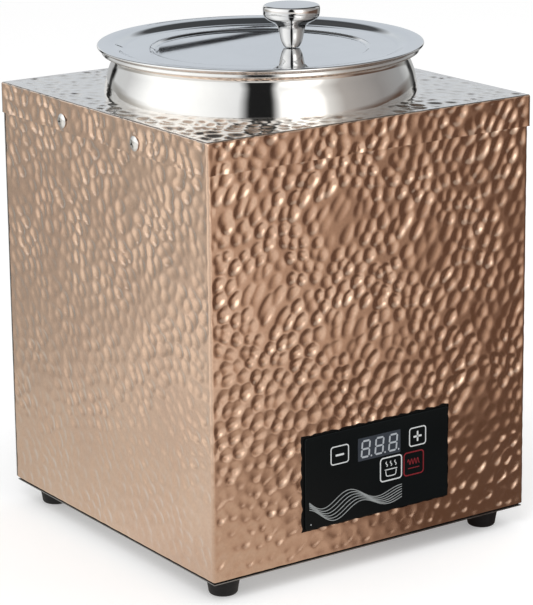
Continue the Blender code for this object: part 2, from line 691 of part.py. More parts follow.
def make_collar():
    """The spun neck on the deck: a round shoulder drawn in to a neck that flares under the pot."""
    sheet = COLLAR_SHEET
    shoulder_r = COLLAR_NECK_RADIUS - COLLAR_SHOULDER_TUCK
    shoulder_z = DECK_TOP + COLLAR_SHOULDER_START
    width = COLLAR_BASE_RADIUS - shoulder_r
    flare_r = COLLAR_NECK_RADIUS + COLLAR_FLARE_WIDTH
    flare_z = COLLAR_TOP - sheet - COLLAR_FLARE_RISE
    meet = math.degrees(math.acos(COLLAR_SHOULDER_TUCK / width))
    profile = [(COLLAR_INNER_FOOT, COLLAR_BOTTOM), (COLLAR_BASE_RADIUS, COLLAR_BOTTOM)]
    profile += arc(shoulder_r, shoulder_z, width, COLLAR_SHOULDER_RISE, 0, meet, BEND_STEPS)
    profile += arc(flare_r, flare_z, COLLAR_FLARE_WIDTH, COLLAR_FLARE_RISE, 165, 90, CORNER_STEPS)
    profile += arc(flare_r, flare_z, COLLAR_FLARE_WIDTH + sheet, COLLAR_FLARE_RISE + sheet, 90, 165, CORNER_STEPS)
    inner_width = width - sheet
    inner_rise = COLLAR_SHOULDER_RISE - sheet
    meet = math.degrees(math.acos((COLLAR_SHOULDER_TUCK - sheet) / inner_width))
    profile += arc(shoulder_r, shoulder_z, inner_width, inner_rise, meet, 0, BEND_STEPS)
    profile += [(COLLAR_BASE_RADIUS - sheet, COLLAR_BOTTOM + sheet), (COLLAR_INNER_FOOT, COLLAR_BOTTOM + sheet)]
    turned("neck_collar", profile, RING_STEPS, "polished_steel", ring=True)


def make_well():
    """The deep-drawn well that hangs by its flange from the deck's underside."""
    outer = WELL_OUTER_RADIUS
    corner = WELL_BOTTOM_RADIUS
    inner_corner = corner - WELL_WALL
    flange = outer + WELL_FLANGE_WIDTH
    under = WELL_FLANGE_TOP - WELL_WALL
    floor = WELL_UNDERSIDE + WELL_WALL
    profile = arc(outer - corner, WELL_UNDERSIDE + corner, corner, corner, -90, 0, CORNER_STEPS)
    profile += [(outer, under), (flange, under), (flange, WELL_FLANGE_TOP), (WELL_INNER_RADIUS, WELL_FLANGE_TOP)]
    profile += arc(
        WELL_INNER_RADIUS - inner_corner, floor + inner_corner, inner_corner, inner_corner, 0, -90, CORNER_STEPS
    )
    turned("well_liner", profile, HIDDEN_RING_STEPS, "plain_steel")


def make_insulation():
    """The mineral wool jacket round the well, under its flange."""
    inner = WELL_OUTER_RADIUS + SEAT_GAP
    outer = inner + INSULATION_THICKNESS
    low = PROBE_LOW + PROBE_LENGTH + INSULATION_PROBE_ROOM
    high = WELL_FLANGE_TOP - WELL_WALL - SEAT_GAP
    profile = [(inner, low), (outer, low), (outer, high), (inner, high)]
    turned("insulation_jacket", profile, HIDDEN_RING_STEPS, "insulation", ring=True)


def make_heater():
    """The heating plate, its clamp and bolt, its two terminals, its cutout and the probe."""
    edge = HEATER_EDGE_RADIUS
    bore = CLAMP_BOLT_RADIUS + SCREW_CLEARANCE
    profile = [(bore, HEATER_UNDERSIDE), (CHANNEL_INNER, HEATER_UNDERSIDE)]
    profile += arc(CHANNEL_INNER + edge, CHANNEL_UNDERSIDE + edge, edge, edge, 180, 270, CORNER_STEPS)
    profile += arc(CHANNEL_OUTER - edge, CHANNEL_UNDERSIDE + edge, edge, edge, 270, 360, CORNER_STEPS)
    profile += [(CHANNEL_OUTER, HEATER_UNDERSIDE)]
    profile += arc(HEATER_RADIUS - edge, HEATER_UNDERSIDE + edge, edge, edge, -90, 0, CORNER_STEPS)
    profile += [(HEATER_RADIUS, HEATER_TOP), (bore, HEATER_TOP)]
    turned("heating_plate", profile, HIDDEN_RING_STEPS, "aluminium", ring=True)

    clamp_top = HEATER_UNDERSIDE - SEAT_GAP
    half = (CHANNEL_INNER - CLAMP_END_ROOM, CLAMP_WIDTH / 2, CLAMP_WIDTH / 2 - SEAT_GAP)
    rings = [rectangle(*half, z) for z in (-CLAMP_THICKNESS, 0)]
    clamp = lofted("heater_clamp", rings, "plain_steel", (0, 0, clamp_top))
    cut(clamp, cutter("clamp_cut", [drill(bore, CLAMP_THICKNESS, (0, 0, clamp_top), UP)]))

    seat = clamp_top - CLAMP_THICKNESS - SEAT_GAP
    profile = [
        (CLAMP_BOLT_HEAD_RADIUS, seat - CLAMP_BOLT_HEAD_HEIGHT),
        (CLAMP_BOLT_HEAD_RADIUS, seat),
        (CLAMP_BOLT_RADIUS, seat),
        (CLAMP_BOLT_RADIUS, HEATER_TOP),
    ]
    turned("clamp_bolt", profile, SMALL_STEPS, "plain_steel")

    rings = [
        rectangle(TERMINAL_WIDTH / 2, TERMINAL_THICKNESS / 2, z=z)
        for z in (TERMINAL_TOP - TERMINAL_LENGTH, TERMINAL_TOP)
    ]
    for side, name in ((-1, "left"), (1, "right")):
        place = (side * TERMINAL_SPREAD, CHANNEL_RADIUS, 0)
        lofted(f"heater_terminal_{name}", rings, "brass", place)

    top = clamp_top
    profile = [
        (CUTOUT_RADIUS - edge, top - CUTOUT_HEIGHT),
        (CUTOUT_RADIUS, top - CUTOUT_HEIGHT + edge),
        (CUTOUT_RADIUS, top),
    ]
    beside_clamp = (CLAMP_WIDTH / 2 + CHANNEL_INNER) / 2
    turned("thermal_cutout", profile, SMALL_STEPS, "block_white", (0, -beside_clamp, 0))

    profile = arc(0, PROBE_LOW + PROBE_RADIUS, PROBE_RADIUS, PROBE_RADIUS, -60, 0, CORNER_STEPS)
    profile.append((PROBE_RADIUS, PROBE_LOW + PROBE_LENGTH))
    turned("temperature_probe", profile, SMALL_STEPS, "plain_steel", (PROBE_X, 0, 0))


def make_pot():
    """The lift-out pot, hanging by its flange and bead on the neck."""
    bead = POT_BEAD_RADIUS
    bead_r = POT_RIM_RADIUS - bead
    bead_z = POT_SEAT + bead
    mouth = POT_MOUTH_RADIUS
    corner = POT_CORNER_RADIUS
    inner = POT_RADIUS - POT_WALL
    flange_top = POT_SEAT + POT_WALL
    join = math.degrees(math.asin((bead_z - flange_top) / bead))
    profile = arc(POT_RADIUS - corner, POT_UNDERSIDE + corner, corner, corner, -90, 0, BEND_STEPS)
    profile += arc(POT_RADIUS + mouth, POT_SEAT - mouth, mouth, mouth, 180, 90, CORNER_STEPS)
    profile += arc(bead_r, bead_z, bead, bead, -90, 180 + join, BEAD_STEPS)
    reach = mouth + POT_WALL
    profile += arc(inner + reach, flange_top - reach, reach, reach, 90, 180, CORNER_STEPS)
    inner_corner = corner - POT_WALL
    floor = POT_UNDERSIDE + POT_WALL
    profile += arc(inner - inner_corner, floor + inner_corner, inner_corner, inner_corner, 0, -90, BEND_STEPS)
    turned("soup_pot", profile, RING_STEPS, "polished_steel")


def lid_surface(offset):
    """The lid's pressed steps from its flange to the edge of its floor, lowered by an offset."""
    wall_foot = LID_RECESS_RADIUS - LID_RECESS_WALL_WIDTH
    step_top = LID_FLOOR_RADIUS + LID_STEP_WIDTH
    return [
        (LID_RECESS_RADIUS - offset / 2, LID_TOP - offset),
        (wall_foot - offset / 2, LID_RECESS_FLOOR - offset),
        (step_top - offset / 2, LID_RECESS_FLOOR - LID_RING_FALL - offset),
        (LID_FLOOR_RADIUS - offset / 2, LID_FLOOR - offset),
    ]


def make_lid():
    """The pressed lid with its hemmed edge, and a hole for the knob's screw."""
    hem = LID_HEM_THICKNESS / 2
    hem_inner = LID_RADIUS - LID_HEM_WIDTH
    profile = list(reversed(lid_surface(LID_SHEET)))
    profile += [(hem_inner - LID_SHEET, LID_TOP - LID_SHEET), (hem_inner, LID_SEAT)]
    profile += arc(LID_RADIUS - hem, LID_SEAT + hem, hem, hem, -90, 90, 2 * CORNER_STEPS)
    profile += lid_surface(0)
    lid = turned("lid", profile, RING_STEPS, "polished_steel")
    hole = drill(KNOB_SCREW_RADIUS + SCREW_CLEARANCE, LID_SHEET, (KNOB_OFFSET_X, KNOB_OFFSET_Y, LID_FLOOR), UP)
    cut(lid, cutter("lid_knob_cut", [hole]))


def make_knob():
    """The turned knob with a waisted stem and a thick round cap, and its screw and washer."""
    place = (KNOB_OFFSET_X, KNOB_OFFSET_Y, LID_FLOOR + SEAT_GAP)
    bore = KNOB_SCREW_RADIUS + SCREW_CLEARANCE
    cap_bottom = KNOB_HEIGHT - KNOB_CAP_THICKNESS
    edge_height = KNOB_CAP_THICKNESS / 2
    edge_r = KNOB_CAP_RADIUS - KNOB_CAP_EDGE_WIDTH
    profile = [(bore, KNOB_BORE_DEPTH), (bore, 0)]
    profile += arc(
        KNOB_BASE_RADIUS, KNOB_STEM_HEIGHT, KNOB_STEM_RADIUS - KNOB_BASE_RADIUS, KNOB_STEM_HEIGHT, -90, 0, BEND_STEPS
    )
    flare_height = cap_bottom - KNOB_STEM_HEIGHT
    profile += arc(edge_r, KNOB_STEM_HEIGHT, edge_r - KNOB_STEM_RADIUS, flare_height, 160, 90, CORNER_STEPS)
    profile += arc(edge_r, cap_bottom + edge_height, KNOB_CAP_EDGE_WIDTH, edge_height, -72, 72, BEAD_STEPS)
    profile.append((edge_r - KNOB_CAP_EDGE_WIDTH, KNOB_HEIGHT))
    profile.append((KNOB_BASE_RADIUS, KNOB_HEIGHT + KNOB_CROWN_HEIGHT))
    turned("knob", profile, KNOB_STEPS, "polished_steel", place)

    under = LID_FLOOR - LID_SHEET - SEAT_GAP
    profile = [
        (bore, under - KNOB_WASHER_THICKNESS),
        (KNOB_WASHER_RADIUS, under - KNOB_WASHER_THICKNESS),
        (KNOB_WASHER_RADIUS, under),
        (bore, under),
    ]
    turned("knob_washer", profile, SMALL_STEPS, "plain_steel", (KNOB_OFFSET_X, KNOB_OFFSET_Y, 0), ring=True)
    seat = under - KNOB_WASHER_THICKNESS - SEAT_GAP
    profile = screw_profile(KNOB_SCREW_RADIUS, KNOB_SCREW_HEAD_RADIUS, KNOB_SCREW_HEAD_HEIGHT, seat)
    profile.append((KNOB_SCREW_RADIUS, LID_FLOOR + SEAT_GAP + KNOB_SCREW_ENTRY))
    turned("knob_screw", profile, SMALL_STEPS, "plain_steel", (KNOB_OFFSET_X, KNOB_OFFSET_Y, 0))


def stud_places(y):
    """The centres of the two studs that hold the control panel."""
    across = PANEL_WIDTH / 2 + FASCIA_MARGIN_X - STUD_INSET
    return {
        "left": (PANEL_OFFSET - across, y, PANEL_MIDDLE),
        "right": (PANEL_OFFSET + across, y, PANEL_MIDDLE),
    }


def make_control_panel():
    """The stepped fascia in the wrap's opening, with its housing, board and display behind it."""
    front = WRAP_FRONT + FASCIA_RECESS
    inner_face = WRAP_INNER_FRONT + SEAT_GAP
    boss = (PANEL_WIDTH / 2 - FASCIA_CLEARANCE, PANEL_HEIGHT / 2 - FASCIA_CLEARANCE, PANEL_CORNER_RADIUS)
    flange_x = PANEL_WIDTH / 2 + FASCIA_MARGIN_X
    flange_z = PANEL_HEIGHT / 2 + FASCIA_MARGIN_Z
    flange = (flange_x, flange_z, PANEL_CORNER_RADIUS)
    rings = [
        rectangle(*flange, -FASCIA_BACK),
        rectangle(*flange, -inner_face),
        rectangle(*boss, -inner_face),
        rectangle(*boss, -front),
    ]
    place = (PANEL_OFFSET, 0, PANEL_MIDDLE)
    fascia = lofted("control_fascia", rings, "panel_black", place, FRONT)
    hole = STUD_RADIUS + SCREW_CLEARANCE
    fascia_holes = [drill(hole, FASCIA_FLANGE, spot, FRONT) for spot in stud_places(FASCIA_BACK).values()]
    cut(fascia, cutter("fascia_stud_cut", fascia_holes))

    flange_back = HOUSING_FRONT + HOUSING_FLANGE
    body_x = flange_x - 2 * STUD_INSET
    body_z = flange_z - HOUSING_WALL
    cavity_x = body_x - HOUSING_WALL
    cavity_z = body_z - HOUSING_WALL
    ledge_x = cavity_x - HOUSING_LEDGE
    ledge_z = cavity_z - HOUSING_LEDGE
    display_front = FASCIA_BACK + SEAT_GAP
    board_front = display_front + DISPLAY_DEPTH + SEAT_GAP
    ledge = board_front + BOARD_SHEET + SEAT_GAP
    radius = PANEL_CORNER_RADIUS
    rings = [
        rectangle(body_x, body_z, radius, -HOUSING_BACK),
        rectangle(body_x, body_z, radius, -flange_back),
        rectangle(flange_x, flange_z, radius, -flange_back),
        rectangle(flange_x, flange_z, radius, -HOUSING_FRONT),
        rectangle(cavity_x, cavity_z, radius, -HOUSING_FRONT),
        rectangle(cavity_x, cavity_z, radius, -ledge),
        rectangle(ledge_x, ledge_z, radius, -ledge),
        rectangle(ledge_x, ledge_z, radius, HOUSING_WALL - HOUSING_BACK),
    ]
    housing = lofted("control_housing", rings, "black_plastic", place, FRONT)
    housing_holes = [drill(hole, HOUSING_FLANGE, spot, FRONT) for spot in stud_places(flange_back).values()]
    cut(housing, cutter("housing_stud_cut", housing_holes))

    board = (cavity_x - SEAT_GAP, cavity_z - SEAT_GAP, radius)
    rings = [rectangle(*board, z) for z in (-board_front - BOARD_SHEET, -board_front)]
    lofted("control_board", rings, "board_green", place, FRONT)
    display = (DISPLAY_WIDTH / 2, DISPLAY_HEIGHT / 2)
    rings = [rectangle(*display, z=z) for z in (-display_front - DISPLAY_DEPTH, -display_front)]
    display_place = (PANEL_OFFSET + DISPLAY_OFFSET, 0, PANEL_MIDDLE + DISPLAY_RISE)
    lofted("display_module", rings, "display_grey", display_place, FRONT)

    seat = flange_back + SEAT_GAP
    rings = [
        circle(STUD_NUT_RADIUS, -seat - STUD_NUT_HEIGHT, NUT_STEPS),
        circle(STUD_NUT_RADIUS, -seat, NUT_STEPS),
        circle(STUD_RADIUS, -seat, NUT_STEPS),
        circle(STUD_RADIUS, -inner_face, NUT_STEPS),
    ]
    for side, spot in stud_places(0).items():
        lofted(f"panel_stud_{side}", rings, "plain_steel", spot, FRONT)


def make_power_board():
    """The power board on four standoffs, with a transformer, a relay and a terminal block."""
    half_x = POWER_BOARD_LENGTH / 2
    half_y = POWER_BOARD_WIDTH / 2
    foot = PAN_TOP + SEAT_GAP
    for side_x, left_right in ((-1, "left"), (1, "right")):
        for side_y, front_rear in ((-1, "front"), (1, "rear")):
            x = POWER_BOARD_X + side_x * (half_x - STANDOFF_INSET)
            y = POWER_BOARD_Y + side_y * (half_y - STANDOFF_INSET)
            profile = [(STANDOFF_RADIUS, foot), (STANDOFF_RADIUS, foot + STANDOFF_HEIGHT)]
            turned(f"standoff_{left_right}_{front_rear}", profile, NUT_STEPS, "brass", (x, y, 0))
    levels = (POWER_BOARD_UNDERSIDE, POWER_BOARD_UNDERSIDE + BOARD_SHEET)
    rings = [rectangle(half_x, half_y, COMPONENT_EDGE, z) for z in levels]
    lofted("power_board", rings, "board_green", (POWER_BOARD_X, POWER_BOARD_Y, 0))
    sizes = {
        "transformer": (TRANSFORMER_LENGTH, TRANSFORMER_WIDTH, TRANSFORMER_HEIGHT, "plain_steel"),
        "relay": (RELAY_LENGTH, RELAY_WIDTH, RELAY_HEIGHT, "relay_blue"),
        "terminal_block": (BLOCK_LENGTH, BLOCK_WIDTH, BLOCK_HEIGHT, "block_white"),
    }
    for name, (length, width, height, finish) in sizes.items():
        edge = COMPONENT_EDGE
        rings = [
            rectangle(length / 2, width / 2, edge, 0),
            rectangle(length / 2, width / 2, edge, height - edge),
            rectangle(length / 2 - edge / 2, width / 2 - edge / 2, edge, height),
        ]
        lofted(name, rings, finish, component_place(name))


def component_place(name):
    """Where a component stands on the power board."""
    share_x, share_y = COMPONENT_PLACE_SHARES[name]
    x = POWER_BOARD_X + share_x * POWER_BOARD_LENGTH / 2
    y = POWER_BOARD_Y + share_y * POWER_BOARD_WIDTH / 2
    return Vector((x, y, COMPONENT_SEAT))


def lead(name, start, leave, arrive, end, radius):
    """A lead along one smooth curve, drawn towards a guide point at each end."""
    rings = []
    turn = Matrix.Identity(3)
    before = Vector((0, 0, 1))
    for step in range(LEAD_STEPS + 1):
        t = step / LEAD_STEPS
        u = 1 - t
        point = u**3 * start + 3 * u * u * t * leave + 3 * u * t * t * arrive + t**3 * end
        heading = u * u * (leave - start) + 2 * u * t * (arrive - leave) + t * t * (end - arrive)
        turn = before.rotation_difference(heading).to_matrix() @ turn
        before = heading
        rings.append([point + turn @ Vector(spot) for spot in circle(radius, 0, LEAD_SIDES)])
    lofted(name, rings, "wire_jacket")


def make_leads():
    """The leads of the heater, the probe, the controls and the mains inlet."""
    swing = Vector((0, 0, LEAD_SWING))
    gap = Vector((0, 0, SEAT_GAP))
    tab = TERMINAL_TOP - TERMINAL_LENGTH
    relay_top = component_place("relay") + Vector((0, 0, RELAY_HEIGHT)) + gap
    start = Vector((-TERMINAL_SPREAD, CHANNEL_RADIUS, tab)) - gap
    lead("heater_lead_left", start, start - swing, relay_top + swing, relay_top, HEATER_LEAD_RADIUS)

    block = component_place("terminal_block")
    block_top = block + Vector((LEAD_SPREAD, 0, BLOCK_HEIGHT)) + gap
    start = Vector((TERMINAL_SPREAD, CHANNEL_RADIUS, tab)) - gap
    lead("heater_lead_right", start, start - swing, block_top + swing, block_top, HEATER_LEAD_RADIUS)

    corner_x = POWER_BOARD_X - POWER_BOARD_LENGTH / 2
    corner_y = POWER_BOARD_Y - POWER_BOARD_WIDTH / 2 + LEAD_INSET
    long_swing = Vector((0, 0, LEAD_LONG_SWING))
    start = Vector((PROBE_X, 0, PROBE_LOW)) - gap
    landing = Vector((corner_x + LEAD_INSET, corner_y, COMPONENT_SEAT))
    lead("probe_lead", start, start - swing, landing + long_swing, landing, PROBE_LEAD_RADIUS)

    start = Vector((PANEL_OFFSET - PANEL_WIDTH / 4, HOUSING_BACK + SEAT_GAP, PANEL_MIDDLE))
    landing = Vector((corner_x + CONTROL_LEAD_INSET, corner_y, COMPONENT_SEAT))
    leave = start + Vector((0, LEAD_LONG_SWING, 0))
    lead("control_lead", start, leave, landing + long_swing, landing, CONTROL_LEAD_RADIUS)

    start = Vector((INLET_X, INLET_BACK - SEAT_GAP, INLET_MIDDLE))
    landing = block + Vector((BLOCK_LENGTH / 2 + SEAT_GAP, 0, BLOCK_HEIGHT / 2))
    arrive = landing + Vector((LEAD_LONG_SWING, 0, 0))
    lead("mains_lead", start, start - Vector((0, LEAD_LONG_SWING, 0)), arrive, landing, MAINS_LEAD_RADIUS)


def inlet_screw_places(y):
    """The centres of the mains inlet's two screws."""
    return [(INLET_X + side * INLET_SCREW_SPREAD, y, INLET_MIDDLE) for side in (-1, 1)]


def make_inlet():
    """The mains inlet: a flanged shell with an open socket, three pins and two screws."""
    face = REAR_OUTER + SEAT_GAP
    outer = face + INLET_FLANGE_THICKNESS
    radius = INLET_CORNER_RADIUS
    floor = outer - INLET_SOCKET_DEPTH
    body = (INLET_BODY_WIDTH / 2, INLET_BODY_HEIGHT / 2, radius)
    flange = (INLET_FLANGE_WIDTH / 2, INLET_FLANGE_HEIGHT / 2, radius)
    socket = (INLET_SOCKET_WIDTH / 2, INLET_SOCKET_HEIGHT / 2, radius)
    rings = [
        rectangle(*body, INLET_BACK),
        rectangle(*body, face),
        rectangle(*flange, face),
        rectangle(*flange, outer),
        rectangle(*socket, outer),
        rectangle(*socket, floor),
    ]
    shell = lofted("inlet_shell", rings, "black_plastic", (INLET_X, 0, INLET_MIDDLE), BACK)
    holes = [
        drill(INLET_SCREW_RADIUS + SCREW_CLEARANCE, INLET_FLANGE_THICKNESS, place, BACK)
        for place in inlet_screw_places(outer)
    ]
    cut(shell, cutter("inlet_screw_cut", holes))
    rings = [rectangle(PIN_THICKNESS / 2, PIN_WIDTH / 2, z=z) for z in (floor + SEAT_GAP, floor + PIN_LENGTH)]
    pins = {"live": (PIN_SPREAD, -PIN_DROP), "neutral": (-PIN_SPREAD, -PIN_DROP), "earth": (0, PIN_DROP)}
    for name, (across, rise) in pins.items():
        lofted(f"inlet_pin_{name}", rings, "brass", (INLET_X + across, 0, INLET_MIDDLE + rise), BACK)
    profile = screw_profile(INLET_SCREW_RADIUS, INLET_SCREW_HEAD_RADIUS, INLET_SCREW_HEAD_HEIGHT, -SEAT_GAP)
    profile.append((INLET_SCREW_RADIUS, INLET_SCREW_LENGTH))
    for name, place in zip(("left", "right"), inlet_screw_places(outer)):
        turned(f"inlet_screw_{name}", profile, SMALL_STEPS, "plain_steel", place, BACK @ DOWN)


def main():
    """Builds every piece of the soup warmer."""
    clear_scene()
    make_cover()
    make_wrap()
    make_rear_panel()
    make_base_pan()
    make_feet()
    make_side_screws()
    make_rear_screws()
    make_collar()
    make_well()
    make_insulation()
    make_heater()
    make_pot()
    make_lid()
    make_knob()
    make_control_panel()
    make_power_board()
    make_inlet()
    make_leads()


main()
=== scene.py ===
"""Looks of the electric soup warmer: hammered copper cabinet, polished steel and the touch panel."""

import math
import random

import bmesh
import bpy
import numpy as np
from mathutils import Matrix, Vector


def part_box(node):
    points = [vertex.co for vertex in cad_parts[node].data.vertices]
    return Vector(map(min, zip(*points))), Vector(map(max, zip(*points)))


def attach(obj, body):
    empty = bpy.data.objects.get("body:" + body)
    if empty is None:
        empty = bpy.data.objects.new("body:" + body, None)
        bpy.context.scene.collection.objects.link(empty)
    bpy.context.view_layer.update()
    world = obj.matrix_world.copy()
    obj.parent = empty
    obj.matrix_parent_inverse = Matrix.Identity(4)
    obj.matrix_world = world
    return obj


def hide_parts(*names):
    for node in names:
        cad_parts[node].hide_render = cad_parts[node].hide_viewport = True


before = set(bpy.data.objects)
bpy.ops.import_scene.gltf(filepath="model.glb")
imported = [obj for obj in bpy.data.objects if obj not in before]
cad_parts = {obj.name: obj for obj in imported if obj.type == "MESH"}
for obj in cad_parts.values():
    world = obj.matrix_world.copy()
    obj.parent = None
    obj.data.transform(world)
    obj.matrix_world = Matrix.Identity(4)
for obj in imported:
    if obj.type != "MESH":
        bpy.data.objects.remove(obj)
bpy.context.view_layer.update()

# places taken from the frame
COVER_LOW, COVER_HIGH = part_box("top_cover")
WRAP_LOW, WRAP_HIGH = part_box("cabinet_wrap")
DECK = COVER_HIGH.z
HALF = COVER_HIGH.x
WRAP_HALF = WRAP_HIGH.x
WRAP_BOTTOM = WRAP_LOW.z

# camera
AZIMUTH = math.radians(-34.5)
ELEVATION = math.radians(14.17)
ROLL = math.radians(-0.6)
DISTANCE = 2.075
FOCAL_PIXELS = 2585.0
LONG_SIDE_PIXELS = 605.0
SHIFT_Y = -0.1
SENSOR_WIDTH = 36.0
TARGET_HEIGHT = 0.165 + WRAP_BOTTOM
TARGET_RIGHT = 0.0031
TARGET_UP = 0.042


def link_object(name, data):
    """A new object that holds data, linked to the scene."""
    made = bpy.data.objects.new(name, data)
    bpy.context.scene.collection.objects.link(made)
    return made


def mesh_from(name, bm):
    """A mesh from a bmesh, which is freed."""
    mesh = bpy.data.meshes.new(name)
    bm.to_mesh(mesh)
    bm.free()
    return mesh


def make_camera():
    back = Vector((
        math.sin(AZIMUTH) * math.cos(ELEVATION),
        -math.cos(AZIMUTH) * math.cos(ELEVATION),
        math.sin(ELEVATION),
    ))
    right = Vector((math.cos(AZIMUTH), math.sin(AZIMUTH), 0))
    up = back.cross(right)
    target = Vector((0, 0, TARGET_HEIGHT)) + right * TARGET_RIGHT + up * TARGET_UP
    right_rolled = right * math.cos(ROLL) + up * math.sin(ROLL)
    up_rolled = up * math.cos(ROLL) - right * math.sin(ROLL)
    turn = Matrix((right_rolled, up_rolled, back)).transposed().to_4x4()
    data = bpy.data.cameras.new("camera")
    data.sensor_width = SENSOR_WIDTH
    data.lens = FOCAL_PIXELS * SENSOR_WIDTH / LONG_SIDE_PIXELS
    data.shift_y = SHIFT_Y
    data.clip_start = 0.05
    camera = link_object("camera", data)
    camera.matrix_world = Matrix.Translation(target + back * DISTANCE) @ turn
    bpy.context.scene.camera = camera


# node helpers
class Nodes:
    """Short calls for building a node tree."""

    def __init__(self, tree):
        self.tree = tree
        self.tree.nodes.clear()

    def add(self, kind, **values):
        node = self.tree.nodes.new(kind)
        for key, value in values.items():
            setattr(node, key, value)
        return node

    def link(self, source, target):
        self.tree.links.new(source, target)

    def math(self, operation, first, second=None):
        node = self.add("ShaderNodeMath", operation=operation)
        for index, value in enumerate((first, second)):
            if value is None:
                continue
            if isinstance(value, (int, float)):
                node.inputs[index].default_value = value
            else:
                self.link(value, node.inputs[index])
        return node.outputs[0]

    def ramp(self, factor, stops):
        node = self.add("ShaderNodeValToRGB")
        elements = node.color_ramp.elements
        while len(elements) > 1:
            elements.remove(elements[0])
        for index, (place, colour) in enumerate(stops):
            element = elements[0] if index == 0 else elements.new(place)
            element.position = place
            if isinstance(colour, (int, float)):
                colour = (colour, colour, colour)
            element.color = (*colour, 1.0)
        self.link(factor, node.inputs[0])
        return node.outputs[0]

    def mix(self, factor, first, second, blend="MIX"):
        node = self.add("ShaderNodeMix", data_type="RGBA", blend_type=blend)
        for index, value in ((0, factor), (6, first), (7, second)):
            if isinstance(value, (int, float)):
                node.inputs[index].default_value = value
            elif isinstance(value, tuple):
                node.inputs[index].default_value = (*value, 1.0)
            else:
                self.link(value, node.inputs[index])
        return node.outputs[2]

    def noise(self, coordinates, scale, detail=2.0, roughness=0.5):
        node = self.add("ShaderNodeTexNoise")
        node.inputs["Scale"].default_value = scale
        node.inputs["Detail"].default_value = detail
        node.inputs["Roughness"].default_value = roughness
        self.link(coordinates, node.inputs["Vector"])
        return node.outputs[0]

    def stretched(self, scale):
        """Object coordinates scaled per axis."""
        source = self.add("ShaderNodeTexCoord").outputs["Object"]
        mapping = self.add("ShaderNodeMapping")
        mapping.inputs["Scale"].default_value = scale
        self.link(source, mapping.inputs["Vector"])
        return mapping.outputs[0]

    def bump(self, height, strength, distance):
        node = self.add("ShaderNodeBump")
        node.inputs["Strength"].default_value = strength
        node.inputs["Distance"].default_value = distance
        self.link(height, node.inputs["Height"])
        return node.outputs[0]

    def split(self, vector):
        """The three parts of a vector."""
        node = self.add("ShaderNodeSeparateXYZ")
        self.link(vector, node.inputs[0])
        return node.outputs

    def mirrored(self, path):
        """1 for a ray seen in a mirror or through glass."""
        return self.math("MAXIMUM", path.outputs["Is Glossy Ray"], path.outputs["Is Transmission Ray"])


def new_surface(name):
    """A material with a Principled shader on its output, with its nodes and the shader."""
    made = bpy.data.materials.new(name)
    made.use_nodes = True
    nodes = Nodes(made.node_tree)
    output = nodes.add("ShaderNodeOutputMaterial")
    shader = nodes.add("ShaderNodeBsdfPrincipled")
    nodes.link(shader.outputs[0], output.inputs[0])
    return made, nodes, shader


BUMP_DISTANCE = 0.0001


def finish(name, colour, spread=0.08, roughness=0.4, rough_spread=0.06, metallic=0.0, scale=60,
           bump=0.0, bump_scale=900.0, specular=0.5):
    """A procedural material: two tones, uneven roughness and a fine relief."""
    made, nodes, shader = new_surface(name)
    place = nodes.stretched(scale if isinstance(scale, tuple) else (scale, scale, scale))
    patches = nodes.noise(place, 1.0, 3.0)
    low = tuple(c * (1 - spread) for c in colour)
    high = tuple(min(1.0, c * (1 + spread)) for c in colour)
    nodes.link(nodes.ramp(patches, [(0.3, low), (0.7, high)]), shader.inputs["Base Color"])
    fine = nodes.noise(place, 3.1, 4.0, 0.6)
    smooth, coarse = max(0.02, roughness - rough_spread), min(1.0, roughness + rough_spread)
    nodes.link(nodes.ramp(fine, [(0.25, smooth), (0.75, coarse)]), shader.inputs["Roughness"])
    shader.inputs["Metallic"].default_value = metallic
    shader.inputs["Specular IOR Level"].default_value = specular
    if bump:
        grain = nodes.noise(nodes.stretched((1, 1, 1)), bump_scale, 3.0)
        nodes.link(nodes.bump(grain, bump, BUMP_DISTANCE), shader.inputs["Normal"])
    return made


# studio
def bearing(nodes, vector):
    """Bearing of a vector from the camera's, from 0 to 1 with the camera at 0.5, turning right."""
    angle = nodes.math("ARCTAN2", vector[1], vector[0])
    camera = -math.pi / 2 + AZIMUTH
    turned = nodes.math("ADD", angle, math.pi - camera + 2 * math.pi)
    return nodes.math("FRACT", nodes.math("DIVIDE", turned, 2 * math.pi))


def degrees(stops):
    """Ramp stops from bearings in degrees right of the camera."""
    return [(0.5 + angle / 360, colour) for angle, colour in stops]


# what mirrors see: light above the horizon and the far ground, from the world; near the object, painted
# reflection tones that the floor glows with for mirrors alone, dark brown to the right, though no table
# stands there
SKY = degrees([
    (-180, (0.62, 0.66, 0.71)), (-172, (0.66, 0.70, 0.74)), (-163, (0.90, 0.91, 0.92)),
    (-155, (0.86, 0.87, 0.87)), (-153, 0.01), (-143, 0.01), (-139, (0.70, 0.71, 0.71)), (-118, 0.72),
    (-100, (1.12, 1.12, 1.11)), (-86, (1.40, 1.39, 1.36)), (-60, (1.38, 1.37, 1.34)), (-17, 1.0),
    (-9, 0.015), (8, 0.015), (14, (1.10, 1.09, 1.07)),
    (48, (1.02, 0.99, 0.95)), (64, (0.50, 0.46, 0.43)), (100, (0.32, 0.30, 0.29)), (130, 0.38),
    (145, (0.66, 0.67, 0.67)), (149, 0.01), (158, 0.01),
    (162, (0.74, 0.75, 0.77)), (172, (0.66, 0.70, 0.74)),
    (180, (0.62, 0.66, 0.71)),
])
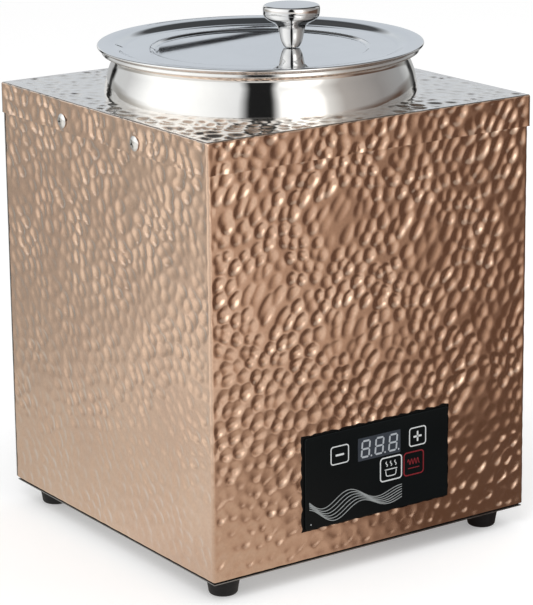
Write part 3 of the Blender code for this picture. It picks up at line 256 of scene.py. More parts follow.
GROUND_FAR = degrees([
    (-180, (0.52, 0.53, 0.54)), (-151, 0.50), (-150, 0.05), (-144, 0.05), (-142, (0.46, 0.46, 0.45)),
    (-125, (0.36, 0.345, 0.32)), (-105, (0.54, 0.51, 0.47)), (-85, (1.02, 0.98, 0.92)),
    (-60, (1.00, 0.97, 0.93)), (-17, (0.80, 0.78, 0.76)), (15, (0.80, 0.75, 0.70)),
    (50, (0.84, 0.75, 0.68)), (60, (0.58, 0.45, 0.37)),
    (76, (0.14, 0.085, 0.062)), (122, (0.12, 0.080, 0.062)), (142, (0.36, 0.36, 0.35)),
    (151, 0.05), (157, 0.05), (158, (0.46, 0.46, 0.45)), (180, (0.52, 0.53, 0.54)),
])
# painted reflection: tones that the floor glows with near the object, for mirrors and glass only
PAINTED_REFLECTION_NEAR = degrees([
    (-180, (0.64, 0.64, 0.62)), (-110, (0.60, 0.575, 0.53)), (-60, (0.76, 0.73, 0.69)),
    (-17, (0.66, 0.62, 0.58)),
    (15, (0.60, 0.52, 0.45)), (28, (0.56, 0.46, 0.39)), (43, (0.36, 0.27, 0.22)),
    (58, (0.13, 0.082, 0.060)), (118, (0.12, 0.080, 0.062)), (150, (0.50, 0.48, 0.45)),
    (180, (0.72, 0.73, 0.72)),
])
# the same by height, from 0 straight down to 1 straight up
HORIZON = [(0.49, 0.0), (0.52, 1.0)]
CEILING_FRONT = [(0.885, 1.0), (0.945, 0.70), (1.0, 0.55)]
CEILING_REAR = [(0.70, 1.0), (0.76, 0.10), (0.97, 0.09), (1.0, 0.50)]
REAR_PART = degrees([(-180, 1.0), (-142, 1.0), (-128, 0.0), (112, 0.0), (128, 1.0), (180, 1.0)])
WINDOW_ACROSS = degrees([(13, 0.0), (26, 1.0), (38, 1.0), (50, 0.0)])
WINDOW_UPWARD = [(0.42, 0.0), (0.47, 1.0), (0.70, 1.0), (0.80, 0.0)]
WINDOW_LIGHT = (1.5, 1.42, 1.35)
AMBIENT = (0.80, 0.80, 0.80)
FLOOR_RADIUS = 3.0
FLOOR_GLOW = 0.30
# the reach of the floor's painted reflection near tones, and how they fade into the far ground's
PAINTED_REFLECTION_REACH = 0.54
PAINTED_REFLECTION_EDGE = [(0.42, 0.0), (0.56, 1.0)]


def make_world():
    world = bpy.data.worlds.new("studio")
    bpy.context.scene.world = world
    world.use_nodes = True
    nodes = Nodes(world.node_tree)
    output = nodes.add("ShaderNodeOutputWorld")
    direction = nodes.add("ShaderNodeTexCoord").outputs["Generated"]
    parts = nodes.split(direction)
    turn = bearing(nodes, parts)
    height = nodes.math("ADD", nodes.math("MULTIPLY", parts[2], 0.5), 0.5)
    sides = nodes.mix(nodes.ramp(height, HORIZON), nodes.ramp(turn, GROUND_FAR), nodes.ramp(turn, SKY))
    ceiling = nodes.mix(
        nodes.ramp(turn, REAR_PART), nodes.ramp(height, CEILING_FRONT), nodes.ramp(height, CEILING_REAR))
    glossy = nodes.mix(1.0, sides, ceiling, "MULTIPLY")
    window = nodes.mix(1.0, nodes.ramp(turn, WINDOW_ACROSS), nodes.ramp(height, WINDOW_UPWARD), "MULTIPLY")
    glossy = nodes.mix(1.0, glossy, nodes.mix(1.0, window, WINDOW_LIGHT, "MULTIPLY"), "ADD")
    path = nodes.add("ShaderNodeLightPath")
    colour = nodes.mix(nodes.mirrored(path), AMBIENT, glossy)
    colour = nodes.mix(path.outputs["Is Camera Ray"], colour, (1.0, 1.0, 1.0))
    background = nodes.add("ShaderNodeBackground")
    nodes.link(colour, background.inputs["Color"])
    nodes.link(background.outputs[0], output.inputs[0])


def make_floor():
    bm = bmesh.new()
    bmesh.ops.create_circle(bm, cap_ends=True, segments=96, radius=FLOOR_RADIUS)
    floor = link_object("floor", mesh_from("floor", bm))
    made = bpy.data.materials.new("floor_pale_painted_reflection")
    made.use_nodes = True
    nodes = Nodes(made.node_tree)
    output = nodes.add("ShaderNodeOutputMaterial")
    place = nodes.add("ShaderNodeTexCoord").outputs["Object"]
    turn = bearing(nodes, nodes.split(place))
    # painted reflection: mirrors and glass see the floor glow in the near and far ground tones, in place of
    # its own pale colour and the object's shadow
    near = nodes.ramp(turn, PAINTED_REFLECTION_NEAR)
    far = nodes.ramp(turn, GROUND_FAR)
    length = nodes.add("ShaderNodeVectorMath", operation="LENGTH")
    nodes.link(place, length.inputs[0])
    reach = nodes.math("DIVIDE", length.outputs["Value"], 2 * PAINTED_REFLECTION_REACH)
    painted_reflection = nodes.add("ShaderNodeEmission")
    nodes.link(nodes.mix(nodes.ramp(reach, PAINTED_REFLECTION_EDGE), near, far), painted_reflection.inputs["Color"])
    diffuse = nodes.add("ShaderNodeBsdfDiffuse")
    diffuse.inputs["Color"].default_value = (*AMBIENT, 1.0)
    glow = nodes.add("ShaderNodeEmission")
    path = nodes.add("ShaderNodeLightPath")
    nodes.link(nodes.math("MULTIPLY", path.outputs["Is Camera Ray"], FLOOR_GLOW), glow.inputs["Strength"])
    pale = nodes.add("ShaderNodeAddShader")
    nodes.link(diffuse.outputs[0], pale.inputs[0])
    nodes.link(glow.outputs[0], pale.inputs[1])
    both = nodes.add("ShaderNodeMixShader")
    nodes.link(nodes.mirrored(path), both.inputs[0])
    nodes.link(pale.outputs[0], both.inputs[1])
    nodes.link(painted_reflection.outputs[0], both.inputs[2])
    nodes.link(both.outputs[0], output.inputs[0])
    floor.data.materials.append(made)


LAMP_AIM = Vector((0, 0, 0.2))


def make_lamp(name, place, size, power):
    data = bpy.data.lights.new(name, "AREA")
    data.shape = "DISK"
    data.size = size
    data.energy = power
    lamp = link_object(name, data)
    lamp.location = place
    lamp.rotation_euler = (LAMP_AIM - Vector(place)).to_track_quat("-Z", "Y").to_euler()
    lamp.visible_glossy = False


# mesh helpers
def link_mesh(name, bm, material, body, smooth):
    """An object from a bmesh, shaded smooth, with its material, riding on a body."""
    mesh = mesh_from(name, bm)
    mesh.shade_smooth()
    mesh.set_sharp_from_angle(angle=math.radians(smooth))
    mesh.materials.append(material)
    made = link_object(name, mesh)
    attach(made, body)
    return made


def outward_normals(bm):
    bmesh.ops.recalc_face_normals(bm, faces=bm.faces)


def band(bm, low, high, closed=True):
    """Faces between two rows of as many vertices."""
    count = len(low)
    for i in range(count if closed else count - 1):
        j = (i + 1) % count
        bm.faces.new((low[i], low[j], high[j], high[i]))


def spline(points, steps):
    """A smooth curve through profile points, as a Catmull-Rom spline."""
    out = []
    count = len(points)
    for i in range(count - 1):
        p0 = points[max(i - 1, 0)]
        p1, p2 = points[i], points[i + 1]
        p3 = points[min(i + 2, count - 1)]
        for s in range(steps):
            t = s / steps
            out.append(tuple(
                0.5 * (
                    (2 * b) + (c - a) * t + (2 * a - 5 * b + 4 * c - d) * t * t
                    + (3 * b - a - 3 * c + d) * t**3)
                for a, b, c, d in zip(p0, p1, p2, p3)
            ))
    out.append(tuple(points[-1]))
    return out


def arc(centre_r, centre_z, radius, start, end, steps):
    """Profile points on a circle, from one angle in degrees to another."""
    out = []
    for step in range(steps + 1):
        angle = math.radians(start + (end - start) * step / steps)
        out.append((centre_r + radius * math.cos(angle), centre_z + radius * math.sin(angle)))
    return out


ON_AXIS = 1e-7


def turned(name, profile, segments, material, body, centre=(0, 0, 0), facing=None, closed=False, smooth=50):
    """A solid turned about an axis through centre. A profile point on the axis makes a pole."""
    bm = bmesh.new()
    move = Matrix.Translation(centre) @ (facing or Matrix())
    rows = []
    for radius, z in profile:
        if radius < ON_AXIS:
            rows.append([bm.verts.new(move @ Vector((0, 0, z)))])
        else:
            angles = [2 * math.pi * i / segments for i in range(segments)]
            rows.append([
                bm.verts.new(move @ Vector((radius * math.cos(a), radius * math.sin(a), z)))
                for a in angles])
    pairs = list(zip(rows, rows[1:]))
    if closed:
        pairs.append((rows[-1], rows[0]))
    for low, high in pairs:
        for i in range(segments):
            j = (i + 1) % segments
            corners = []
            for row, index in ((low, i), (low, j), (high, j), (high, i)):
                vert = row[index] if len(row) > 1 else row[0]
                if vert not in corners:
                    corners.append(vert)
            if len(corners) > 2:
                bm.faces.new(corners)
    if not closed:
        for row in (rows[0], rows[-1]):
            if len(row) > 1:
                bm.faces.new(row)
    outward_normals(bm)
    return link_mesh(name, bm, material, body, smooth)


# hammered sheet
PITCH_LONG = 0.0128
PITCH_SHORT = 0.0098
DEPTH = 0.00145
WARP = 0.0030
TABLE = 96  # cells after which the marks' random sizes repeat
JITTER = 0.30
SHEET = 0.00098
NEAR = 1e-6


def warp(u, v, rng, reach):
    """Slow uneven displacement of points, so that the marks' rows wander."""
    du = np.zeros(u.shape)
    dv = np.zeros(u.shape)
    for _ in range(6):
        angle = rng.uniform(0, 2 * math.pi)
        wave = rng.uniform(0.040, 0.100)
        phase = rng.uniform(0, 2 * math.pi, 2)
        run = (u * math.cos(angle) + v * math.sin(angle)) / wave * 2 * math.pi
        du += np.sin(run + phase[0])
        dv += np.sin(run + phase[1])
    return u + du * reach / 3, v + dv * reach / 3


def hammer(u, v, seed, slant):
    """Depth of the hammer marks at points of a flat face, from 0 to 1. The marks lean by slant."""
    rng = np.random.default_rng(seed)
    u, v = warp(np.asarray(u, float), np.asarray(v, float), rng, WARP)
    swell = np.zeros(u.shape)
    for _ in range(7):
        angle = rng.uniform(0, 2 * math.pi)
        wave = rng.uniform(0.045, 0.11)
        run = (u * math.cos(angle) + v * math.sin(angle)) / wave * 2 * math.pi
        swell += np.sin(run + rng.uniform(0, 6.28))
    along = (u * math.cos(slant) + v * math.sin(slant)) / PITCH_LONG
    across = (v * math.cos(slant) - u * math.sin(slant)) / PITCH_SHORT
    shift_a = rng.uniform(-JITTER, JITTER, (TABLE, TABLE))
    shift_b = rng.uniform(-JITTER, JITTER, (TABLE, TABLE))
    deep = rng.uniform(0.50, 1.0, (TABLE, TABLE))
    spread = rng.uniform(0.80, 1.25, (TABLE, TABLE))
    cell_a = np.floor(along).astype(int)
    cell_b = np.floor(across).astype(int)
    near = np.zeros(u.shape)
    weight = np.zeros(u.shape)
    for da in range(-2, 3):
        for db in range(-2, 3):
            i = cell_a + da
            j = cell_b + db
            cell = (i % TABLE, j % TABLE)
            a = along - (i + 0.5 + 0.5 * (j % 2) - 0.25 + shift_a[cell])
            b = across - (j + 0.5 + shift_b[cell])
            gap = (a * a + b * b) * spread[cell]
            pull = np.exp(-12.0 * gap)
            near += pull * deep[cell] * np.clip(1 - 3.4 * gap, 0, 1)
            weight += pull
    marks = near / weight
    return np.clip(marks * (0.90 + 0.09 * swell) + 0.06 + 0.03 * swell, 0, 1)


def fade(distance, width):
    """0 at an edge, rising smoothly to 1 at width from it."""
    t = np.clip(distance / width, 0, 1)
    return t * t * (3 - 2 * t)


def positions(start, end, step, extra=()):
    """Grid lines from start to end about step apart, which also pass through the extra values."""
    stops = sorted({start, end, *extra})
    lines = []
    for low, high in zip(stops, stops[1:]):
        count = max(1, round((high - low) / step))
        lines += [low + (high - low) * i / count for i in range(count)]
    return lines + [stops[-1]]


OPENING_LEFT, OPENING_RIGHT = -0.0687, 0.0720
OPENING_LOW, OPENING_HIGH = WRAP_BOTTOM + 0.0220, WRAP_BOTTOM + 0.0980
STEP = 0.0015
EDGE_REACH = 0.006  # how far from the opening its uneven edge pulls the sheet
EDGE_MARGIN = 0.003
CALM_WIDTH = 0.006  # the relief is shallower this near to folds and edges
WRAP_FOLD = 0.0012
WRAP_BACK = WRAP_HIGH.y - 0.0004
WRAP_SLANT_LEFT, WRAP_SLANT_FRONT, WRAP_SLANT_RIGHT = math.radians(138), math.radians(58), math.radians(62)


def ragged(t, seed):
    """Uneven run of a cut edge in hammered sheet, about 1 from crest to trough."""
    rng = np.random.default_rng(seed)
    value = 0.0
    for wave, part in ((0.0135, 0.36), (0.0082, 0.34), (0.0051, 0.22), (0.030, 0.18)):
        value += part * np.sin(2 * math.pi * t / wave + rng.uniform(0, 6.28))
    return value


def make_wrap(material):
    """The front and both sides as one hammered strip with the panel's uneven opening."""
    fold = WRAP_FOLD
    side_length = WRAP_BACK - (WRAP_LOW.y + fold)
    bend = fold * math.pi / 2
    front_length = 2 * (WRAP_HALF - fold)
    total = 2 * side_length + 2 * bend + front_length
    front_start = side_length + bend
    mid = front_start + front_length / 2
    s = np.array(positions(0, total, STEP, (
        side_length, side_length + bend, mid + OPENING_LEFT, mid + OPENING_RIGHT,
        front_start + front_length, total - side_length,
    )))
    z = np.array(positions(WRAP_BOTTOM, WRAP_HIGH.z, STEP, (OPENING_LOW, OPENING_HIGH)))

    def place(value):
        """Point and outward normal in plan at a distance along the strip, alike from both ends."""
        if value > mid:
            x, y, normal_x, normal_y = place(total - value)
            return -x, y, -normal_x, normal_y
        if value <= side_length:
            return -WRAP_HALF, WRAP_BACK - value, -1.0, 0.0
        if value < front_start:
            cosine, sine = math.cos((value - side_length) / fold), math.sin((value - side_length) / fold)
            return -WRAP_HALF + fold - fold * cosine, WRAP_LOW.y + fold - fold * sine, -cosine, -sine
        return -WRAP_HALF + fold + value - front_start, WRAP_LOW.y, 0.0, -1.0

    plan = np.array([place(value) for value in s])
    grid_s, grid_z = np.meshgrid(s, z, indexing="ij")
    relief = np.zeros(grid_s.shape)
    fold_left, fold_right = side_length + bend / 2, total - side_length - bend / 2
    for mask, seed, slant in (
        (s <= fold_left, 11, WRAP_SLANT_LEFT),
        ((s > fold_left) & (s < fold_right), 23, WRAP_SLANT_FRONT),
        (s >= fold_right, 37, WRAP_SLANT_RIGHT),
    ):
        relief[mask] = hammer(grid_s[mask], grid_z[mask], seed, slant)
    # the left side is calmer low down, and all of it towards folds and edges
    relief *= np.where(grid_s < side_length, 0.62 + 0.38 * fade(grid_z - WRAP_BOTTOM - 0.13, 0.12), 1.0)
    corner = np.minimum(np.abs(grid_s - fold_left), np.abs(grid_s - fold_right))
    relief *= 0.25 + 0.75 * fade(corner - bend / 2, CALM_WIDTH)
    rim = np.minimum(np.minimum(grid_s, total - grid_s), grid_z - WRAP_BOTTOM)
    relief *= 0.45 + 0.55 * fade(rim, CALM_WIDTH)
    relief = np.minimum(relief, np.where(grid_z < WRAP_BOTTOM + 0.017, 0.70, 0.97))
    du = grid_s - mid
    inside = ((du > OPENING_LEFT - NEAR) & (du < OPENING_RIGHT + NEAR)
              & (grid_z > OPENING_LOW - NEAR) & (grid_z < OPENING_HIGH + NEAR))
    shift = relief * DEPTH
    x = plan[:, 0][:, None] - plan[:, 2][:, None] * shift
    y = plan[:, 1][:, None] - plan[:, 3][:, None] * shift
    z3 = grid_z.copy()
    # the cut edge wanders, most along its left and upper side
    beside = (grid_z > OPENING_LOW - EDGE_MARGIN) & (grid_z < OPENING_HIGH + EDGE_MARGIN)
    above = (du > OPENING_LEFT - EDGE_MARGIN) & (du < OPENING_RIGHT + EDGE_MARGIN)
    for grid, gap, part, run, reach, seed in (
        (x, du - OPENING_LEFT, beside, z[None, :], 0.00085, 5),
        (z3, grid_z - OPENING_HIGH, above, du[:, :1], 0.00085, 8),
        (x, du - OPENING_RIGHT, beside, z[None, :], 0.00030, 6),
        (z3, grid_z - OPENING_LOW, above, du[:, :1], 0.00030, 9),
    ):
        pull = np.where(part, 1 - np.minimum(1.0, np.abs(gap) / EDGE_REACH), 0.0)
        grid += reach * pull * ragged(run, seed)
    bm = bmesh.new()
    verts = {}

    def vert(i, j):
        if (i, j) not in verts:
            verts[i, j] = bm.verts.new((x[i, j], y[i, j], z3[i, j]))
        return verts[i, j]

    for i in range(len(s) - 1):
        for j in range(len(z) - 1):
            if inside[i, j] and inside[i + 1, j + 1]:
                continue
            bm.faces.new((vert(i, j), vert(i + 1, j), vert(i + 1, j + 1), vert(i, j + 1)))
    close_sheet(bm, plan_inward)
    return link_mesh("hammered_wrap", bm, material, "cabinet", 60)


def clamp(value, limit):
    return max(-limit, min(limit, value))


def plan_inward(point):
    """A point of the wrap's rim moved inside the sheet, on its flat inner face."""
    return Vector((clamp(point.x, WRAP_HALF - SHEET), max(WRAP_LOW.y + SHEET, point.y), point.z))


def close_sheet(bm, inward):
    """Turns the free edges of a skin in, as deep as the sheet."""
    rim = [edge for edge in bm.edges if len(edge.link_faces) == 1]
    made = bmesh.ops.extrude_edge_only(bm, edges=rim)
    for element in made["geom"]:
        if isinstance(element, bmesh.types.BMVert):
            element.co = inward(element.co)
    outward_normals(bm)


SCREW_LOW, SCREW_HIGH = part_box("cover_screw_left_rear")
SCREW_Y = (SCREW_LOW.y + SCREW_HIGH.y) / 2
SCREW_Z = (SCREW_LOW.z + SCREW_HIGH.z) / 2
COVER_FOLD = 0.0016
HOLE = 0.1178
HOLE_SEARCH = 0.125  # rim points nearer the axis than this belong to the hole
COLLAR_FOOT = 0.1222


def make_cover(material, material_deck_more_painted_sheen):
    """The deck and its four turned-down flanges as one hammered skin."""
    fold = COVER_FOLD
    half = HALF - fold
    side = positions(-half, half, STEP)
    count = len(side)
    corner_steps = 3
    fold_steps = 3
    drop = positions(COVER_LOW.z, DECK - fold, STEP)
    bm = bmesh.new()

    def ring(reach, level, depth_scale):
        """Points round the cover at a reach outside the deck's flat part."""
        out = []
        for quarter in range(4):
            turn = quarter * math.pi / 2
            cos_t, sin_t = round(math.cos(turn)), round(math.sin(turn))
            u = np.array(side)
            slant = math.radians(60 if quarter % 2 else 118)
            relief = hammer(u, np.full(count, level), 50 + quarter, slant)
            soft = fade(half - np.abs(u), 0.008)
            depth = relief * DEPTH * depth_scale * (0.2 + 0.8 * soft)
            if quarter % 2 == 0:  # smooth sheet under the screws in the left and right flanges
                for seat_y in (-SCREW_Y, SCREW_Y):
                    depth = depth * fade(np.hypot(u - seat_y, level - SCREW_Z) - 0.0052, 0.005)
            points = [(half + reach - inset, value) for value, inset in zip(u, depth)]
            for step in range(1, corner_steps):
                angle = math.pi / 2 * step / corner_steps
                points.append((half + reach * math.cos(angle), half + reach * math.sin(angle)))
            out += [(a * cos_t - b * sin_t, a * sin_t + b * cos_t, level) for a, b in points]
        return out

    rings = [ring(fold, level, 1.0) for level in drop]
    for step in range(1, fold_steps + 1):
        angle = math.pi / 2 * step / fold_steps
        strength = 0.25 * (1 - step / fold_steps)
        rings.append(ring(fold * math.cos(angle), DECK - fold + fold * math.sin(angle), strength))
    rows = [[bm.verts.new(point) for point in points] for points in rings]
    for low, high in zip(rows, rows[1:]):
        band(bm, low, high)
    u, v = np.meshgrid(np.array(side), np.array(side), indexing="ij")
    relief = hammer(u, v, 71, math.radians(100))
    edge = half - np.maximum(np.abs(u), np.abs(v))
    radius = np.hypot(u, v)
    ring_gap = np.abs(radius - COLLAR_FOOT)
    ahead = fade((-0.55 * u - 0.83 * v) / 0.15 - 0.25, 0.6)  # deeper towards the near corner
    calm = (0.12 + 0.88 * fade(edge, CALM_WIDTH)) * (0.12 + 0.88 * fade(ring_gap - 0.0012, 0.005))
    inset = relief * DEPTH * (0.62 + 0.95 * ahead) * calm
    inset = np.where(edge < 1e-7, 0.0, inset)  # the deck's border meets the fold
    covered = radius > HOLE
    grid = {}

    def vert(i, j):
        if (i, j) not in grid:
            grid[i, j] = bm.verts.new((u[i, j], v[i, j], DECK - inset[i, j]))
        return grid[i, j]

    for i in range(count - 1):
        for j in range(count - 1):
            if covered[i:i + 2, j:j + 2].all():
                bm.faces.new((vert(i, j), vert(i + 1, j), vert(i + 1, j + 1), vert(i, j + 1)))
    bmesh.ops.remove_doubles(bm, verts=bm.verts, dist=NEAR)
    for free in [item for item in bm.edges if len(item.link_faces) == 1]:
        for end in free.verts:
            r = math.hypot(end.co.x, end.co.y)
            if r < HOLE_SEARCH:
                end.co.x *= HOLE / r
                end.co.y *= HOLE / r

    def inward(point):
        if math.hypot(point.x, point.y) < HOLE_SEARCH:
            return Vector((point.x, point.y, DECK - SHEET))
        return Vector((clamp(point.x, HALF - SHEET), clamp(point.y, HALF - SHEET), point.z))

    close_sheet(bm, inward)
    deck_floor = DECK - fold * 0.35 - DEPTH * 1.3
    # the deck's level faces take the copper copy with more painted sheen
    for face in bm.faces:
        if face.calc_center_median().z > deck_floor and abs(face.normal.z) > 0.6:
            face.material_index = 1
    piece = link_mesh("hammered_cover", bm, material, "cabinet", 60)
    piece.data.materials.append(material_deck_more_painted_sheen)
    return piece


# the object
COPPER_TONES = [(0.30, (0.76, 0.54, 0.41)), (0.52, (0.80, 0.58, 0.44)), (0.75, (0.84, 0.62, 0.48))]
# the pale tone that the copper takes on at a low angle, a painted sheen
COPPER_PAINTED_SHEEN = (0.93, 0.90, 0.86)


def material_copper(name, painted_sheen_stops):
    """Clouded, grained copper whose base colour pales where it is seen at a low angle: a painted sheen, set
    by the viewing angle.
    """
    made, nodes, shader = new_surface(name)
    place = nodes.stretched((1, 1, 1))
    cloud = nodes.noise(place, 9.0, 4.0, 0.6)
    base = nodes.ramp(cloud, COPPER_TONES)
    grain = nodes.noise(place, 420.0, 4.0, 0.65)
    speck = nodes.ramp(grain, [(0.35, 0.93), (0.65, 1.0)])
    # painted sheen: the base colour pales through Layer Weight's Facing, more the lower the angle it is seen
    # at
    painted_sheen_facing = nodes.add("ShaderNodeLayerWeight")
    painted_sheen_facing.inputs["Blend"].default_value = 0.5
    pale = nodes.ramp(painted_sheen_facing.outputs["Facing"], painted_sheen_stops)
    base = nodes.mix(pale, base, COPPER_PAINTED_SHEEN)
    nodes.link(nodes.mix(1.0, base, speck, "MULTIPLY"), shader.inputs["Base Color"])
    shader.inputs["Metallic"].default_value = 1.0
    rough = nodes.ramp(nodes.noise(place, 60.0, 4.0, 0.6), [(0.3, 0.15), (0.7, 0.22)])
    nodes.link(rough, shader.inputs["Roughness"])
    nodes.link(nodes.bump(grain, 0.12, 0.0002), shader.inputs["Normal"])
    return made


def steel(name, colour=(0.80, 0.80, 0.79), roughness=0.07, lines=True):
    """Polished steel with faint spun lines about the pot's axis."""
    made, nodes, shader = new_surface(name)
    place = nodes.stretched((1, 1, 1))
    cloud = nodes.noise(place, 30.0, 3.0, 0.6)
    low = tuple(c * 0.96 for c in colour)
    nodes.link(nodes.ramp(cloud, [(0.35, low), (0.65, colour)]), shader.inputs["Base Color"])
    shader.inputs["Metallic"].default_value = 1.0
    haze = nodes.noise(place, 22.0, 4.0, 0.65)
    rough = nodes.math("ADD", nodes.math("MULTIPLY", haze, 0.05), roughness - 0.02)
    nodes.link(rough, shader.inputs["Roughness"])
    if lines:
        x, y, z = nodes.split(place)
        radius = nodes.math("SQRT", nodes.math(
            "ADD", nodes.math("MULTIPLY", x, x), nodes.math("MULTIPLY", y, y)))
        around = nodes.add("ShaderNodeCombineXYZ")
        nodes.link(radius, around.inputs[0])
        nodes.link(z, around.inputs[1])
        spun = nodes.noise(around.outputs[0], 1500.0, 2.0, 0.5)
        nodes.link(nodes.bump(spun, 0.05, 0.00004), shader.inputs["Normal"])
    return made


def keep(names, material):
    """Gives carried-over CAD nodes their material."""
    for name in names:
        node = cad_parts[name]
        node.data.materials.clear()
        node.data.materials.append(material)


def make_collar(material):
    """The spun neck, a thin ring standing on the deck."""
    outline = spline([
        (0.1233, DECK + 0.0004), (0.1228, DECK + 0.0040), (0.1220, DECK + 0.0085), (0.1207, DECK + 0.0140),
        (0.1190, DECK + 0.0188), (0.1172, DECK + 0.0232), (0.1165, DECK + 0.0262), (0.1169, DECK + 0.0284),
        (0.1180, DECK + 0.0297), (0.1194, DECK + 0.0302),
    ], 6)
    inner = [(r - 0.001, z - 0.0006 if index > 40 else z) for index, (r, z) in enumerate(outline)]
    foot = [(0.1173, DECK - 0.0002), (0.1233, DECK - 0.0002)]
    profile = foot + outline + inner[::-1] + [(0.1173, DECK + 0.0006)]
    piece = turned("spun_neck", profile, 160, material, "cabinet", closed=True)
    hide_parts("neck_collar")


def make_pot(material):
    """The soup pot with its flange and rolled rim, from the outside of its base to the inside."""
    low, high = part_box("soup_pot")
    wall, corner, radius = 0.001, 0.018, 0.110
    seat = high.z - 0.0044
    profile = [(0, low.z)] + arc(radius - corner, low.z + corner, corner, -90, 0, 14)
    profile += arc(radius + 0.003, seat - 0.003, 0.003, 180, 90, 8)
    profile += spline([
        (high.x - 0.0030, seat), (high.x - 0.0012, seat + 0.00005), (high.x - 0.0003, seat + 0.0005),
        (high.x - 0.0001, seat + 0.0010), (high.x - 0.0006, seat + 0.0028), (high.x - 0.0012, seat + 0.0038),
        (high.x - 0.0020, high.z - 0.0001), (high.x - 0.0026, high.z), (high.x - 0.0036, high.z - 0.0004),
        (high.x - 0.0043, high.z - 0.0016), (high.x - 0.0046, seat + wall + 0.0005),
    ], 3)
    profile += arc(radius - wall + 0.004, seat + wall - 0.004, 0.004, 90, 180, 8)
    profile += arc(radius - corner, low.z + corner, corner - wall, 0, -90, 14) + [(0, low.z + wall)]
    piece = turned("pressed_pot", profile, 160, material, "pot")
    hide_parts("soup_pot")


def lid_profile(top):
    """The lid's upper surface from its rim to the middle, with the bends of pressed sheet."""
    drops = [
        (0.1264, 0.0), (0.1240, 0.00006), (0.1210, 0.00024), (0.1180, 0.00058), (0.1158, 0.00098),
        (0.1140, 0.00148), (0.1122, 0.00214), (0.1104, 0.00288), (0.1086, 0.00354), (0.1070, 0.00394),
        (0.1054, 0.00410), (0.1030, 0.00412), (0.0876, 0.00418), (0.0865, 0.00428), (0.0855, 0.00465),
        (0.0845, 0.00515), (0.0836, 0.00556), (0.0826, 0.00576), (0.0812, 0.00580), (0.0600, 0.00580),
        (0.0300, 0.00580), (0.0, 0.00580),
    ]
    return spline([(radius, top - drop) for radius, drop in drops], 4)


def make_lid(material):
    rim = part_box("lid")[1].x
    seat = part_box("soup_pot")[1].z + 0.0003
    top = seat + 0.0022
    hem = 0.0011
    upper = lid_profile(top)
    under = [(max(0, r - 0.0002), z - 0.0009) for r, z in reversed(upper) if r < 0.1185]
    profile = under + [(0.1196, seat + 0.0004), (0.1206, seat)]
    profile += arc(rim - hem, seat + hem, hem, -90, 82, 12) + upper
    piece = turned("pressed_lid", profile, 192, material, "lid")
    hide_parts("lid")


def make_knob(material):
    low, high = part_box("knob")
    foot = ((low.x + high.x) / 2, (low.y + high.y) / 2, low.z)
    body = spline([
        (0.0056, 0.0), (0.0063, 0.0005), (0.0071, 0.0018), (0.0083, 0.0044), (0.0091, 0.0075),
        (0.0097, 0.0108), (0.0103, 0.0134), (0.0113, 0.0160), (0.0132, 0.0182), (0.0162, 0.0202),
        (0.0192, 0.0219), (0.0212, 0.0237), (0.0221, 0.0257), (0.0224, 0.0280), (0.0225, 0.0302),
        (0.0222, 0.0319), (0.0214, 0.0329), (0.0200, 0.0334), (0.0150, 0.0336), (0.0080, 0.03375),
        (0.0, 0.0338),
    ], 5)
    profile = [(0.0023, 0.010), (0.0023, 0.0)] + body
    piece = turned("turned_knob", profile, 96, material, "lid", foot)
    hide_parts("knob")


UPRIGHT = Matrix.Rotation(math.pi / 2, 4, "X")
FACE = {
    "back": Matrix.Rotation(math.pi, 4, "Z") @ UPRIGHT,
    "left": Matrix.Rotation(-math.pi / 2, 4, "Z") @ UPRIGHT,
    "right": Matrix.Rotation(math.pi / 2, 4, "Z") @ UPRIGHT,
    "down": Matrix.Rotation(math.pi, 4, "X"),
}
DOME_ANGLE = 1.25
DOME_PART = 0.86  # how much of the head's height is dome


def make_screw(node, face, head_radius, head_height, shank, turn, material):
    """A domed screw head with a cross recess, on its shank."""
    low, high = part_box(node)
    middle = (low + high) / 2
    outward = FACE[face] @ Vector((0, 0, 1))
    reach = max(abs(outward.dot(high - middle)), abs(outward.dot(low - middle)))
    top = middle + outward * reach
    facing = FACE[face] @ Matrix.Rotation(turn, 4, "Z")
    dome = [(0, 0.0)] + [
        (head_radius * math.sin(a),
         -head_height * DOME_PART * (1 - math.cos(a)) / (1 - math.cos(DOME_ANGLE)))
        for a in [i * 0.125 for i in range(1, 10)]
    ]
    scale = head_radius / dome[-1][0]
    dome = [(r * scale, z) for r, z in dome]
    length = 2 * reach
    profile = dome + [
        (head_radius, -head_height * 0.95), (head_radius * 0.97, -head_height),
        (shank, -head_height), (shank, -length + 0.0006), (shank * 0.6, -length), (0, -length),
    ]
    piece = turned(node + "_domed", profile, 32, material, "cabinet", top, facing, smooth=40)
    bm = bmesh.new()
    arm, thick = head_radius * 0.60, head_radius * 0.15
    quarter = [(thick, thick), (thick, arm), (-thick, arm)]
    outline = [point for a, b in ((1, 0), (0, 1), (-1, 0), (0, -1)) for point in [
        (x * a - y * b, x * b + y * a) for x, y in quarter]]
    move = Matrix.Translation(top) @ facing
    upper = [bm.verts.new(move @ Vector((a, b, 0.001))) for a, b in outline]
    lower = [bm.verts.new(move @ Vector((a * 0.55, b * 0.55, -head_height * 0.75))) for a, b in outline]
    bm.faces.new(upper)
    bm.faces.new(list(reversed(lower)))
    for i in range(12):
        j = (i + 1) % 12
        bm.faces.new((upper[i], lower[i], lower[j], upper[j]))
    outward_normals(bm)
    cross = link_object("cross", mesh_from("cross", bm))
    cut = piece.modifiers.new("cross", "BOOLEAN")
    cut.operation = "DIFFERENCE"
    cut.solver = "EXACT"
    cut.object = cross
    apply_modifiers(piece)
    bpy.data.objects.remove(cross, do_unlink=True)
    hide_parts(node)
    return piece


def apply_modifiers(piece):
    graph = bpy.context.evaluated_depsgraph_get()
    mesh = bpy.data.meshes.new_from_object(piece.evaluated_get(graph))
    piece.modifiers.clear()
    old = piece.data
    piece.data = mesh
    bpy.data.meshes.remove(old)


